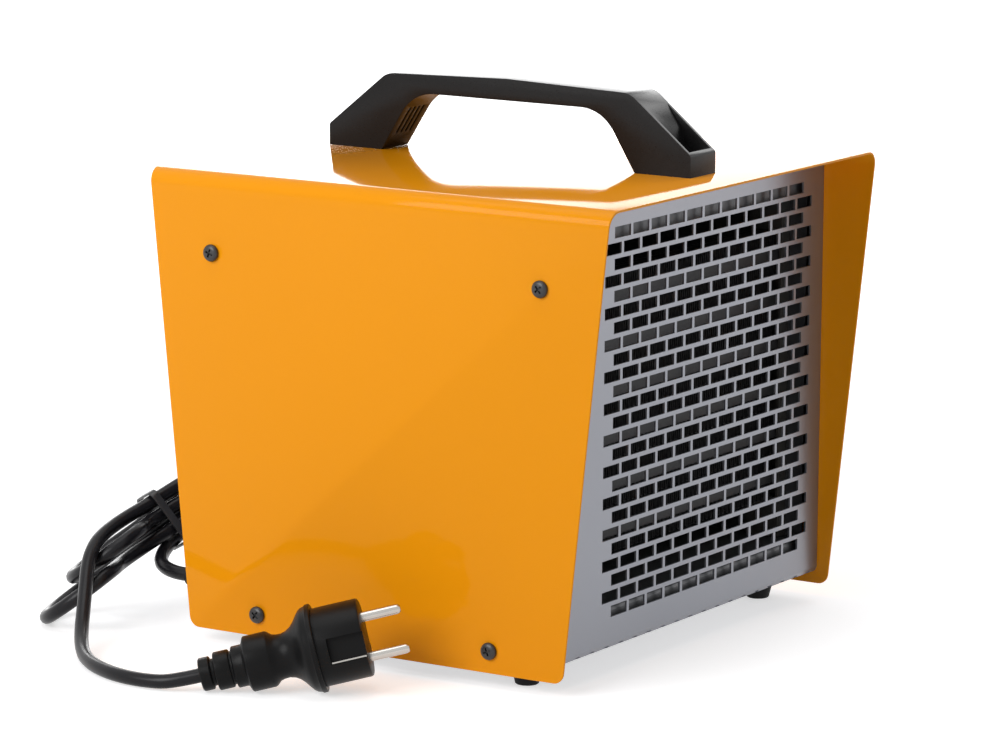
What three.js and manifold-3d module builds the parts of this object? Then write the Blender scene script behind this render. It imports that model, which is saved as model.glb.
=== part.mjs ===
// Forced air heater: a folded, painted sheet-steel cover with a bridge handle over a perforated
// front-and-base sheet, a ceramic heating element, an axial fan, rotary controls and a tied cord.
// Millimetres, +Z up. The air leaves through the front, which faces -Y. The floor is at z = 0.

import * as THREE from 'three';
import { mergeGeometries, mergeVertices } from 'three/addons/utils/BufferGeometryUtils.js';
import Module from 'manifold-3d';

// ---------------------------------------------------------------- driving sizes

const CLEARANCE = 0.3; // between pieces that touch
const FLOOR_GAP = 7; // floor to the lower edges of the cover's sides

// cover
const WIDTH = 258;
const SIDE_HEIGHT = 226;
const TOP_DEPTH = 262;
const BOTTOM_DEPTH = 215;
const COVER_SHEET = 1.2;
const FOLD_RADIUS = 8;
const CORNER_RADIUS = 5;

// perforated front and base, one folded sheet, and the rear panel behind it
const CHASSIS_DEPTH = 203.6;
const CHASSIS_SHEET = 1;
const BEND_RADIUS = 3;
const BASE_RISE = 6; // lower edge of the cover's sides to the underside of the base
const FLANGE = 13;
const LIP = 6;
const GRILLE_TOP_MARGIN = 17.1;
const GRILLE_BOTTOM_MARGIN = 17;
const ROW_PITCH = 7.62;
const SLOT_PITCH = 16.8;
const SLOT_LENGTH = 14.7;
const SLOT_HEIGHT = 5.5;
const BEND_SLOT_PITCH = 13.2;
const BEND_SLOT_LENGTH = 5;
const INTAKE_ROW_PITCH = 15;
const INTAKE_SLOT_PITCH = 44;
const INTAKE_SLOT_LENGTH = 38;
const INTAKE_SLOT_HEIGHT = 7;

// air duct, beside the compartment for the electrical pieces
const COMPARTMENT_WIDTH = 41.5;
const SIDE_GAP = 11;
const DUCT_SHEET = 0.8;
const DUCT_FLOOR_RISE = 18.6; // base to the duct's floor
const DUCT_ROOF_DROP = 9.7; // top of the front plate to the duct's roof
const DUCT_TURN = 7; // turned edges of the duct's sheets
const DUCT_BEND = 2;
const ROOF_APRON = 12;
const DUCT_FRONT_GAP = 2.5;
const WIRE_HOLE_RADIUS = 5;
const WIRE_HOLE_Y = 20;
const WIRE_HOLE_Z = 160;

// heating element
const ELEMENT_SETBACK = 12;
const ELEMENT_DROP = 5;
const BAR_COUNT = 6;
const BAR_PITCH = 22.86;
const BAR_HEIGHT = 6.5;
const BAR_DEPTH = 15;
const RAIL_WIDTH = 8;
const RAIL_WALL = 1.4;
const FIN_DEPTH = 13;
const FIN_SHEET = 0.7;
const FIN_PERIOD = 32;
const TAB_THICKNESS = 0.8;
const TAB_WIDTH = 4.8;
const TAB_OFFSET = 3.8; // middle of the element to each row of tabs
const TAB_REACH = 12;
const TAB_WINDOW = 13.5;
const CUTOUT_RADIUS = 8;
const CUTOUT_DEPTH = 12;
const CUTOUT_ABOVE_BARS = 19;
const CUTOUT_Y = -54;

// fan
const FAN_RADIUS = 84;
const FAN_TIP_GAP = 3;
const SHROUD_FROM_REAR = 66;
const SHROUD_COLLAR = 13;
const STRAP_WIDTH = 24;
const STRAP_THICKNESS = 1.6;
const STRAP_LAP = 5;
const MOTOR_RADIUS = 27;
const MOTOR_LENGTH = 34;
const MOTOR_BOSS_RADIUS = 8;
const MOTOR_BOSS_LENGTH = 4.5;
const MOTOR_NUT_THICKNESS = 2;
const SHAFT_RADIUS = 2.5;
const HUB_RADIUS = 19;
const HUB_LENGTH = 17;
const HUB_GAP = 3;
const BLADE_COUNT = 6;
const BLADE_CHORD = 46;
const BLADE_THICKNESS = 1.6;
const BLADE_PITCH = 22; // degrees out of the fan's plane
const FAN_NUT_HEIGHT = 5;
const NUT_WALL = 3.5;

// controls
const CONTROL_INSET = 20; // from the partition to the middle of the controls
const MODE_BELOW_TOP = 45;
const THERMOSTAT_BELOW_TOP = 92;
const SWITCH_SIZE = 26;
const SWITCH_DEPTH = 24;
const THERMOSTAT_RADIUS = 16;
const THERMOSTAT_DEPTH = 20;
const BUSH_RADIUS = 5;
const STEM_RADIUS = 3;
const KNOB_RADIUS = 14;
const KNOB_HEIGHT = 15;
const KNOB_GRIP = 7;
const KNOB_STANDOFF = 0.6; // bush to the back of a knob
const NUT_HEIGHT = 2.4;
const BULB_RADIUS = 3;
const BULB_LENGTH = 26;
const BULB_Y = 84;
const BULB_Z = 92;
const CAPILLARY_RADIUS = 0.9;

// fasteners and feet
const SCREW_RADIUS = 1.75;
const SCREW_HEAD_RADIUS = 4.2;
const SCREW_HEAD_HEIGHT = 2.4;
const SCREW_REACH = 8;
const UPPER_SCREW_INSET = 8;
const UPPER_SCREW_BELOW_TOP = 39;
const LOWER_SCREW_FROM_MIDDLE = 67;
const LOWER_SCREW_RISE = 5;
const FOOT_TOP_RADIUS = 9;
const FOOT_TOE_RADIUS = 7;
const FOOT_NECK_RADIUS = 3;
const FOOT_FROM_SIDE = 18;
const FOOT_FROM_END = 25;

// handle
const HANDLE_LENGTH = 210;
const HANDLE_WIDTH = 24;
const HANDLE_RISE = 40.4;
const HANDLE_GRIP = 10.8;
const HANDLE_FOOT_LENGTH = 31.5;
const HANDLE_HEEL = 10.5;
const HANDLE_CREST_LENGTH = 141;
const HANDLE_WINDOW_LENGTH = 110;
const HANDLE_WINDOW_RADIUS = 22;
const HANDLE_EDGE = 2;
const POCKET_RIM = 1.8;
const POCKET_FLOOR = 6.7; // above the cover
const POCKET_FLOOR_LENGTH = 8.2;
const POCKET_DEEP_LENGTH = 14.7; // from the rim to the foot of the ramp
const POCKET_RAMP_LENGTH = 10;
const HANDLE_SCREW_RADIUS = 2.5;
const HANDLE_SCREW_LENGTH = 10;

// terminal block and the strain relief at the cord's exit
const BLOCK_LENGTH = 30;
const BLOCK_WIDTH = 22;
const BLOCK_HEIGHT = 15;
const BLOCK_REAR_Y = 68;
const RELIEF_FROM_SIDE = 15.5;
const RELIEF_HEIGHT = 28;
const RELIEF_RADIUS = 6.2;
const RELIEF_COLLAR = 3;
const RELIEF_REACH = 19.5; // inner side of the rear panel to the relief's tip
const CORE_RADIUS = 1.1;
const CORE_PITCH = 6.6;

// cord, hank and plug
const CORD_DIAMETER = 7.2;
const HANK_CORNER = [-129, 168.5, 10.4]; // where the outermost low fold has its centre
const HANK_HEADING = -20; // degrees, seen from above, of the runs as they rise
const HANK_RISE = 28; // degrees
const HANK_ROLL = 25; // degrees
const HANK_RUN = 144;
const HANK_REACH = [0, 24]; // where each low fold starts along the run
const HANK_LAYER = 7.8;
const HANK_WAIST = 58;
const HANK_START = 70; // the cord joins the bundle just above its waist
const HANK_WAIST_HALF = 5;
const HANK_END = 56;
const HANK_FOLD = 21.8; // about three diameters, the least for such a lead
const TIE_WIDTH = 4;
const TIE_THICKNESS = 1.2;
const TIE_SLACK = 1.1; // the strands spread a little from the waist to the tie
const PLUG_TAIL = [-210.6, 42.1, 7.9];
const PLUG_HEADING = -57.6; // degrees, seen from above
const PLUG_TILT = 13.8; // degrees
const PLUG_ROLL = -10; // degrees
const PLUG_BODY_RADIUS = 18.8;
const PLUG_FLANGE_RADIUS = 21.3;
const PLUG_LENGTH = 80;
const PLUG_FLANGE_AT = 52;
const PLUG_FLANGE_THICKNESS = 5.2;
const PIN_RADIUS = 2.4;
const PIN_LENGTH = 19;
const PIN_SPACING = 19;
const PIN_SEAT = 4;
const STRIP_WIDTH = 1.7;
const NOTCH_LEDGE = 8.6; // plug's middle to the ledge that an earth strip stands on
const NOTCH_WIDTH = 12.6;
const NOTCH_DEPTH = 4.2;
const STRIP_THICKNESS = 0.9;
const STRIP_LENGTH = 17;

// ---------------------------------------------------------------- places worked out from them

const SIDES = [-1, 1];
const COVER_TOP = FLOOR_GAP + SIDE_HEIGHT;
const PLATE_TOP = COVER_TOP - COVER_SHEET - CLEARANCE;
const BASE_Z = FLOOR_GAP + BASE_RISE;
const BASE_TOP = BASE_Z + CHASSIS_SHEET;
const INNER_HALF = WIDTH / 2 - COVER_SHEET - CLEARANCE;
const FRONT_Y = -CHASSIS_DEPTH / 2;
const REAR_Y = CHASSIS_DEPTH / 2;
const REAR_INNER = REAR_Y - CHASSIS_SHEET;
const PARTITION_X = -INNER_HALF + COMPARTMENT_WIDTH;
const WALL_X = INNER_HALF - SIDE_GAP;
const DUCT_MID_X = (PARTITION_X + WALL_X) / 2;
const DUCT_FLOOR_Z = BASE_TOP + DUCT_FLOOR_RISE;
const DUCT_ROOF_Z = PLATE_TOP - DUCT_ROOF_DROP;
const DUCT_MID_Z = (DUCT_FLOOR_Z + DUCT_ROOF_Z) / 2;
const DUCT_FRONT_Y = FRONT_Y + CHASSIS_SHEET + DUCT_FRONT_GAP;
const RAIL_FRONT_Y = FRONT_Y + CHASSIS_SHEET + ELEMENT_SETBACK;
const RAIL_DEPTH = BAR_DEPTH + 2 * (RAIL_WALL + CLEARANCE);
const BAR_Y = RAIL_FRONT_Y + RAIL_DEPTH / 2;
const BARS_Z = DUCT_MID_Z - ELEMENT_DROP;
const SHROUD_Y = REAR_Y - SHROUD_FROM_REAR;
const STRAP_Y = SHROUD_Y - CLEARANCE - STRAP_THICKNESS;
const MOTOR_REAR_Y = STRAP_Y - CLEARANCE;
const HUB_Y = SHROUD_Y + DUCT_SHEET + HUB_GAP;
const CONTROL_X = PARTITION_X - CONTROL_INSET;
const MODE_Z = PLATE_TOP - MODE_BELOW_TOP;
const THERMOSTAT_Z = PLATE_TOP - THERMOSTAT_BELOW_TOP;
const RELIEF_X = -INNER_HALF + RELIEF_FROM_SIDE;
const HANDLE_Z = COVER_TOP + CLEARANCE;
const HANDLE_SCREW_Y = (HANDLE_LENGTH - HANDLE_FOOT_LENGTH) / 2;
const SCREW_HOLE = SCREW_RADIUS + CLEARANCE;

// ---------------------------------------------------------------- solids and booleans

const wasm = await Module();
wasm.setup();

const MERGE_DISTANCE = 1e-4;

/** Keeps positions only, merges shared corners, drops flat triangles and turns the faces outwards. */
function closed(geometry) {
  const bare = geometry.clone();
  for (const name of Object.keys(bare.attributes)) {
    if (name !== 'position') bare.deleteAttribute(name);
  }
  const merged = mergeVertices(bare, MERGE_DISTANCE);
  const corners = merged.index.array;
  const kept = [];
  for (let i = 0; i < corners.length; i += 3) {
    const [a, b, c] = corners.slice(i, i + 3);
    if (a !== b && b !== c && c !== a) kept.push(a, b, c);
  }
  merged.setIndex(volume(merged, kept) < 0 ? kept.reverse() : kept);
  return merged;
}

function volume(geometry, index) {
  const at = (i) => new THREE.Vector3().fromBufferAttribute(geometry.attributes.position, i);
  let sum = 0;
  for (let i = 0; i < index.length; i += 3) {
    sum += at(index[i]).dot(at(index[i + 1]).cross(at(index[i + 2])));
  }
  return sum / 6;
}

function toSolid(geometry) {
  const shell = closed(geometry);
  const vertProperties = new Float32Array(shell.attributes.position.array);
  const triVerts = new Uint32Array(shell.index.array);
  return new wasm.Manifold(new wasm.Mesh({ numProp: 3, vertProperties, triVerts }));
}

function toGeometry(solid) {
  const { vertProperties, triVerts } = solid.getMesh();
  const geometry = new THREE.BufferGeometry();
  geometry.setAttribute('position', new THREE.BufferAttribute(new Float32Array(vertProperties), 3));
  geometry.setIndex([...triVerts]);
  return geometry;
}

const join = (first, ...rest) => toGeometry(rest.reduce((sum, g) => sum.add(toSolid(g)), toSolid(first)));
const cut = (first, ...rest) => toGeometry(rest.reduce((sum, g) => sum.subtract(toSolid(g)), toSolid(first)));
const common = (first, second) => toGeometry(toSolid(first).intersect(toSolid(second)));

/** Several solids that stay clear of each other, as one geometry. */
const group = (...solids) => mergeGeometries(solids.map(closed));

// ---------------------------------------------------------------- shapes

/** A box from [low, high] pairs along X, Y and Z. */
function block(x, y, z) {
  const box = new THREE.BoxGeometry(x[1] - x[0], y[1] - y[0], z[1] - z[0]);
  return box.translate((x[0] + x[1]) / 2, (y[0] + y[1]) / 2, (z[0] + z[1]) / 2);
}

const AXIS_TURNS = {
  x: new THREE.Matrix4().makeRotationZ(-Math.PI / 2),
  y: new THREE.Matrix4(),
  z: new THREE.Matrix4().makeRotationX(Math.PI / 2),
};

/** A round bar along an axis, from low to high, through the point at. */
function rod(axis, radius, [low, high], at, sides = 10) {
  const bar = new THREE.CylinderGeometry(radius, radius, high - low, sides);
  bar.translate(0, (low + high) / 2, 0).applyMatrix4(AXIS_TURNS[axis]);
  return bar.translate(...at);
}

/** A turned piece: profile points are [radius, height along the axis]. */
function turned(axis, profile, sides = 16) {
  const points = profile.map(([r, h]) => new THREE.Vector2(r, h));
  return new THREE.LatheGeometry(points, sides).applyMatrix4(AXIS_TURNS[axis]);
}

/** A turned ring, whose profile closes on itself. */
const ring = (axis, profile, sides) => turned(axis, [...profile, profile[0]], sides);

/** A hexagon nut along Y for a thread of the given radius. */
function hexNut(thread, height) {
  const nut = rod('y', thread + NUT_WALL, [0, height], [0, 0, 0], 6);
  return cut(nut, rod('y', thread + CLEARANCE, [-1, height + 1], [0, 0, 0], 16));
}

const ALONG_X = new THREE.Matrix4().makeBasis(
  new THREE.Vector3(0, 1, 0),
  new THREE.Vector3(0, 0, 1),
  new THREE.Vector3(1, 0, 0),
);
const ALONG_Y = new THREE.Matrix4().makeBasis(
  new THREE.Vector3(1, 0, 0),
  new THREE.Vector3(0, 0, 1),
  new THREE.Vector3(0, -1, 0),
);

const extruded = (outline, depth) =>
  new THREE.ExtrudeGeometry(new THREE.Shape(outline), { depth, bevelEnabled: false });

/** An outline in Y and Z, drawn out along X from low to high. */
const prismX = (outline, [low, high]) =>
  extruded(outline, high - low).applyMatrix4(ALONG_X).translate(low, 0, 0);

/** An outline in X and Z, drawn out along Y from low to high. */
const prismY = (outline, [low, high]) =>
  extruded(outline, high - low).applyMatrix4(ALONG_Y).translate(0, high, 0);

/** An outline in X and Y, drawn out along Z from low to high. */
const prismZ = (outline, [low, high]) => extruded(outline, high - low).translate(0, 0, low);

const flat = (points) => points.map(([a, b]) => new THREE.Vector2(a, b));

/** Rounds the corners of a closed or open run of points; radii 0 keeps a corner sharp. */
function rounded(points, radii, open = false, steps = 3) {
  const corners = flat(points);
  const count = corners.length;
  return corners.flatMap((corner, i) => {
    const radius = radii[i] ?? 0;
    if (!radius || (open && (i === 0 || i === count - 1))) return [corner];
    const back = corners[(i + count - 1) % count].clone().sub(corner).normalize();
    const on = corners[(i + 1) % count].clone().sub(corner).normalize();
    const half = Math.acos(THREE.MathUtils.clamp(back.dot(on), -1, 1)) / 2;
    const start = corner.clone().addScaledVector(back, radius / Math.tan(half));
    const centre = back.clone().add(on).normalize().multiplyScalar(radius / Math.sin(half)).add(corner);
    const from = start.sub(centre);
    const sweep = (Math.PI - 2 * half) * Math.sign(on.cross(back));
    return Array.from({ length: steps + 1 }, (_, k) =>
      from.clone().rotateAround(new THREE.Vector2(), (sweep * k) / steps).add(centre));
  });
}

/** The outline of a folded sheet: the outer side is the run of points, the sheet lies on its left. */
function folded(points, sheet, bend) {
  const run = flat(points);
  const sides = run.slice(1).map((p, i) => {
    const along = p.clone().sub(run[i]).normalize();
    return new THREE.Vector2(-along.y, along.x);
  });
  const inner = run.map((p, i) => {
    const before = sides[Math.max(i - 1, 0)];
    const after = sides[Math.min(i, sides.length - 1)];
    const mitre = before.clone().add(after);
    return p.clone().addScaledVector(mitre, sheet / (1 + before.dot(after)));
  });
  const turnsLeft = run.map((p, i) => {
    if (i === 0 || i === run.length - 1) return false;
    return sides[i - 1].cross(sides[i]) > 0;
  });
  const outerRadii = turnsLeft.map((left) => (left ? bend : bend - sheet));
  const innerRadii = turnsLeft.map((left) => (left ? bend - sheet : bend));
  const pairs = (list) => list.map((p) => [p.x, p.y]);
  const steps = bend > FOLD_RADIUS / 2 ? 4 : 2;
  return [
    ...rounded(pairs(run), outerRadii, true, steps),
    ...rounded(pairs(inner), innerRadii, true, steps).reverse(),
  ];
}

const circle = (radius, sides) =>
  Array.from({ length: sides }, (_, i) => {
    const angle = (2 * Math.PI * i) / sides;
    return new THREE.Vector2(radius * Math.cos(angle), radius * Math.sin(angle));
  });

const curveThrough = (points) =>
  new THREE.CatmullRomCurve3(points.map((p) => new THREE.Vector3(...p)), false, 'centripetal');

/** A round tube along a smooth curve through hand-chosen points. */
const tube = (points, radius, sides, steps) =>
  new THREE.ExtrudeGeometry(new THREE.Shape(circle(radius, sides)), {
    steps,
    extrudePath: curveThrough(points),
  });

/** An evenly spaced row of numbers about a middle. */
const spread = (count, pitch, middle = 0) =>
  Array.from({ length: count }, (_, i) => middle + (i - (count - 1) / 2) * pitch);

const radians = THREE.MathUtils.degToRad;

// ---------------------------------------------------------------- the model

const model = new THREE.Group();

const FINISH = {
  orangePaint: { color: 0xf09417, roughness: 0.22, metalness: 0 },
  greyPaint: { color: 0xa4a8b4, roughness: 0.42, metalness: 0.35 },
  galvanised: { color: 0xb4b7ba, roughness: 0.45, metalness: 0.8 },
  aluminium: { color: 0xc6c8cb, roughness: 0.35, metalness: 0.9 },
  steel: { color: 0xc9cbce, roughness: 0.25, metalness: 1 },
  blackSteel: { color: 0x16171a, roughness: 0.4, metalness: 0.4 },
  blackPlastic: { color: 0x17181a, roughness: 0.5, metalness: 0 },
  whiteCeramic: { color: 0xe4e0d6, roughness: 0.6, metalness: 0 },
  brownPlastic: { color: 0x3a2c22, roughness: 0.55, metalness: 0 },
  rubber: { color: 0x111213, roughness: 0.8, metalness: 0 },
  cordSheath: { color: 0x18181b, roughness: 0.45, metalness: 0 },
  nickel: { color: 0xd7d5cf, roughness: 0.2, metalness: 1 },
  copper: { color: 0xb87d4b, roughness: 0.35, metalness: 1 },
  wire: { color: 0x7b2d1d, roughness: 0.5, metalness: 0 },
};

function part(name, finish, geometry, place = [0, 0, 0], turn = [0, 0, 0]) {
  const mesh = new THREE.Mesh(closed(geometry), new THREE.MeshStandardMaterial(FINISH[finish]));
  mesh.name = name;
  mesh.position.set(...place);
  mesh.rotation.set(...turn);
  model.add(mesh);
  return mesh;
}

// Places of the screws on each side: [y, z].
const UPPER_SCREWS = SIDES.map((end) => [
  end * (REAR_Y - UPPER_SCREW_INSET),
  COVER_TOP - UPPER_SCREW_BELOW_TOP,
]);
const LOWER_SCREWS = SIDES.map((end) => [end * LOWER_SCREW_FROM_MIDDLE, BASE_Z + LOWER_SCREW_RISE]);
const SIDE_SCREWS = [...UPPER_SCREWS, ...LOWER_SCREWS];
const FOOT_PLACES = SIDES.flatMap((side) =>
  SIDES.map((end) => [side * (WIDTH / 2 - FOOT_FROM_SIDE), end * (REAR_Y - FOOT_FROM_END)]));

const acrossHoles = (places, radius, [low, high]) =>
  group(...places.map(([y, z]) => rod('x', radius, [low, high], [0, y, z])));

// ---- cover: both sides and the top are one sheet

function coverGeometry() {
  const half = WIDTH / 2;
  const bend = folded(
    [[half, FLOOR_GAP], [half, COVER_TOP], [-half, COVER_TOP], [-half, FLOOR_GAP]],
    COVER_SHEET,
    FOLD_RADIUS,
  );
  const outline = rounded(
    [
      [-BOTTOM_DEPTH / 2, FLOOR_GAP],
      [BOTTOM_DEPTH / 2, FLOOR_GAP],
      [TOP_DEPTH / 2, COVER_TOP],
      [-TOP_DEPTH / 2, COVER_TOP],
    ],
    [CORNER_RADIUS, CORNER_RADIUS, 0, 0],
  );
  const shell = common(prismY(bend, [-TOP_DEPTH / 2, TOP_DEPTH / 2]), prismX(outline, [-half, half]));
  const handleHoles = group(...SIDES.map((end) =>
    rod('z', HANDLE_SCREW_RADIUS + CLEARANCE, [COVER_TOP - FOLD_RADIUS, COVER_TOP + 1],
      [0, end * HANDLE_SCREW_Y, 0])));
  const reach = half + 1;
  return cut(shell, acrossHoles(SIDE_SCREWS, SCREW_HOLE, [-reach, reach]), handleHoles);
}
part('cover', 'orangePaint', coverGeometry());

// ---- front grille and base

const slotColumns = Math.floor((WALL_X - PARTITION_X - SLOT_LENGTH) / SLOT_PITCH) + 1;
const topRowZ = PLATE_TOP - GRILLE_TOP_MARGIN;
const slotRows = Math.floor((topRowZ - BASE_Z - GRILLE_BOTTOM_MARGIN) / ROW_PITCH) + 1;

/** Air slots like bricks in a wall: every second row is one slot longer. */
function grilleSlots() {
  const slots = [];
  for (let row = 0; row < slotRows; row += 1) {
    const z = topRowZ - row * ROW_PITCH;
    const columns = slotColumns - (row % 2 === 0 ? 1 : 0);
    for (const x of spread(columns, SLOT_PITCH, DUCT_MID_X)) {
      slots.push(block(
        [x - SLOT_LENGTH / 2, x + SLOT_LENGTH / 2],
        [FRONT_Y - 1, FRONT_Y + CHASSIS_SHEET + 1],
        [z - SLOT_HEIGHT / 2, z + SLOT_HEIGHT / 2],
      ));
    }
  }
  return group(...slots);
}

/** Short slots along the bend between front and base. */
function bendSlots() {
  const count = Math.floor((2 * INNER_HALF) / BEND_SLOT_PITCH);
  return group(...spread(count, BEND_SLOT_PITCH).map((x) =>
    block(
      [x - BEND_SLOT_LENGTH / 2, x + BEND_SLOT_LENGTH / 2],
      [FRONT_Y - 1, FRONT_Y + BEND_RADIUS * 0.8],
      [BASE_Z - 1, BASE_Z + BEND_RADIUS * 0.6],
    )));
}

const LIP_Y = REAR_INNER - CLEARANCE; // outer face of the base's rear lip
/** Flanges at both sides, from y[0] to y[1] and z[0] to z[1]. */
const sideFlanges = (y, z) =>
  group(...SIDES.map((side) =>
    block([side * INNER_HALF, side * (INNER_HALF - CHASSIS_SHEET)].sort((a, b) => a - b), y, z)));

/** The space inside the cover, whose upper corners follow its folds. */
function insideCover() {
  const corner = FOLD_RADIUS - COVER_SHEET - CLEARANCE;
  const outline = rounded(
    [[-INNER_HALF, 0], [INNER_HALF, 0], [INNER_HALF, PLATE_TOP], [-INNER_HALF, PLATE_TOP]],
    [0, 0, corner, corner],
    false,
    4,
  );
  return prismY(outline, [FRONT_Y, REAR_Y]);
}

function frontBaseGeometry() {
  const sheet = prismX(folded(
    [[FRONT_Y, PLATE_TOP], [FRONT_Y, BASE_Z], [LIP_Y, BASE_Z], [LIP_Y, BASE_Z + LIP]],
    CHASSIS_SHEET,
    BEND_RADIUS,
  ), [-INNER_HALF, INNER_HALF]);
  const insideFront = FRONT_Y + CHASSIS_SHEET / 2;
  const frontFlanges = sideFlanges([insideFront, FRONT_Y + FLANGE], [BASE_Z + 2 * FLANGE, PLATE_TOP - FLANGE]);
  const baseFlanges = sideFlanges(
    [FRONT_Y + 2 * FLANGE, LIP_Y - FLANGE],
    [BASE_Z + CHASSIS_SHEET / 2, BASE_Z + FLANGE],
  );
  const reach = INNER_HALF + 1;
  const footHoles = group(...FOOT_PLACES.map(([x, y]) =>
    rod('z', FOOT_NECK_RADIUS + CLEARANCE, [BASE_Z - 1, BASE_TOP + 1], [x, y, 0])));
  return cut(
    common(join(sheet, frontFlanges, baseFlanges), insideCover()),
    grilleSlots(),
    bendSlots(),
    acrossHoles([UPPER_SCREWS[0], ...LOWER_SCREWS], SCREW_HOLE, [-reach, reach]),
    footHoles,
  );
}
part('front_grille_base', 'greyPaint', frontBaseGeometry());

// ---- rear panel with the air intake, the controls and the cord's exit

/** Slots in rows, kept inside a round field behind the fan. */
function intakeSlots() {
  const rows = Math.floor((2 * FAN_RADIUS) / INTAKE_ROW_PITCH);
  const slots = spread(rows, INTAKE_ROW_PITCH, DUCT_MID_Z).flatMap((z, row) => {
    const chord = 2 * Math.sqrt(FAN_RADIUS ** 2 - (z - DUCT_MID_Z) ** 2);
    const fitting = Math.floor(chord / INTAKE_SLOT_PITCH);
    const count = fitting - ((fitting + row) % 2);
    return spread(count, INTAKE_SLOT_PITCH, DUCT_MID_X).map((x) =>
      block(
        [x - INTAKE_SLOT_LENGTH / 2, x + INTAKE_SLOT_LENGTH / 2],
        [REAR_INNER - 1, REAR_Y + 1],
        [z - INTAKE_SLOT_HEIGHT / 2, z + INTAKE_SLOT_HEIGHT / 2],
      ));
  });
  return group(...slots);
}

const CONTROL_PLACES = [MODE_Z, THERMOSTAT_Z].map((z) => [CONTROL_X, z]);

function rearPanelGeometry() {
  const bottom = BASE_Z + BEND_RADIUS + CLEARANCE;
  const plate = block([-INNER_HALF, INNER_HALF], [REAR_INNER, REAR_Y], [bottom, PLATE_TOP]);
  const flanges = sideFlanges([REAR_Y - FLANGE, REAR_Y - CHASSIS_SHEET / 2], [BASE_Z + 2 * FLANGE, PLATE_TOP - FLANGE]);
  const through = [REAR_INNER - 1, REAR_Y + 1];
  const reach = INNER_HALF + 1;
  return cut(
    common(join(plate, flanges), insideCover()),
    intakeSlots(),
    group(...CONTROL_PLACES.map(([x, z]) => rod('y', BUSH_RADIUS + CLEARANCE, through, [x, 0, z], 20))),
    rod('y', RELIEF_RADIUS + CLEARANCE, through, [RELIEF_X, 0, RELIEF_HEIGHT], 20),
    acrossHoles([UPPER_SCREWS[1]], SCREW_HOLE, [-reach, reach]),
  );
}
part('rear_panel', 'greyPaint', rearPanelGeometry());

// ---- air duct: two walls, a floor and a roof

const WALL_FOOT = BASE_TOP + CLEARANCE;
const WALL_HEAD = PLATE_TOP - CLEARANCE;
const WALL_ENDS = [FRONT_Y + BEND_RADIUS + CLEARANCE, LIP_Y - BEND_RADIUS - CLEARANCE];
const barZ = (i) => BARS_Z + (i - (BAR_COUNT - 1) / 2) * BAR_PITCH;
const CUTOUT_Z = barZ(BAR_COUNT - 1) + CUTOUT_ABOVE_BARS;

/** A wall whose foot and head are turned away from the duct. */
function wallGeometry(faceX, away) {
  const edgeX = faceX + away * DUCT_TURN;
  const run = [[edgeX, WALL_FOOT], [faceX, WALL_FOOT], [faceX, WALL_HEAD], [edgeX, WALL_HEAD]];
  return prismY(folded(away > 0 ? run.reverse() : run, DUCT_SHEET, DUCT_BEND), WALL_ENDS);
}

const STACK_HALF = (BAR_COUNT * BAR_PITCH) / 2;
const THROUGH_PARTITION = [PARTITION_X - DUCT_SHEET - 1, PARTITION_X + 1];
const tabWindow = (x) =>
  block(x, [BAR_Y - TAB_WINDOW / 2, BAR_Y + TAB_WINDOW / 2], [BARS_Z - STACK_HALF, BARS_Z + STACK_HALF]);

const partition = cut(
  wallGeometry(PARTITION_X, -1),
  tabWindow(THROUGH_PARTITION),
  rod('x', CUTOUT_RADIUS + CLEARANCE, THROUGH_PARTITION, [0, CUTOUT_Y, CUTOUT_Z], 20),
  rod('x', BULB_RADIUS + CLEARANCE, THROUGH_PARTITION, [0, BULB_Y, BULB_Z], 12),
  rod('x', WIRE_HOLE_RADIUS, THROUGH_PARTITION, [0, WIRE_HOLE_Y, WIRE_HOLE_Z], 16),
);
part('duct_partition', 'galvanised', partition);
part('duct_wall', 'galvanised', wallGeometry(WALL_X, 1));

const ACROSS_DUCT = [PARTITION_X + CLEARANCE, WALL_X - CLEARANCE];
const DUCT_REAR_Y = SHROUD_Y - CLEARANCE;

const ductFloor = folded(
  [
    [DUCT_FRONT_Y, DUCT_FLOOR_Z - DUCT_TURN],
    [DUCT_FRONT_Y, DUCT_FLOOR_Z],
    [DUCT_REAR_Y, DUCT_FLOOR_Z],
    [DUCT_REAR_Y, DUCT_FLOOR_Z - DUCT_TURN],
  ].reverse(),
  DUCT_SHEET,
  DUCT_BEND,
);
part('duct_floor', 'galvanised', prismX(ductFloor, ACROSS_DUCT));

const ductRoof = folded(
  [
    [DUCT_FRONT_Y, DUCT_ROOF_Z - ROOF_APRON],
    [DUCT_FRONT_Y, DUCT_ROOF_Z],
    [DUCT_REAR_Y - DUCT_SHEET, DUCT_ROOF_Z],
    [DUCT_REAR_Y - DUCT_SHEET, DUCT_ROOF_Z + DUCT_TURN],
  ].reverse(),
  DUCT_SHEET,
  DUCT_BEND,
);
part('duct_roof', 'galvanised', prismX(ductRoof, ACROSS_DUCT));

// ---- heating element: bars and fins stacked between two rails

const RAIL_Z = [DUCT_FLOOR_Z + CLEARANCE, DUCT_ROOF_Z - DUCT_SHEET - CLEARANCE];
const RAIL_Y = [RAIL_FRONT_Y, RAIL_FRONT_Y + RAIL_DEPTH];
const BAR_ENDS = [
  ACROSS_DUCT[0] + RAIL_WALL + CLEARANCE,
  ACROSS_DUCT[1] - RAIL_WALL - CLEARANCE,
];

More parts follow.
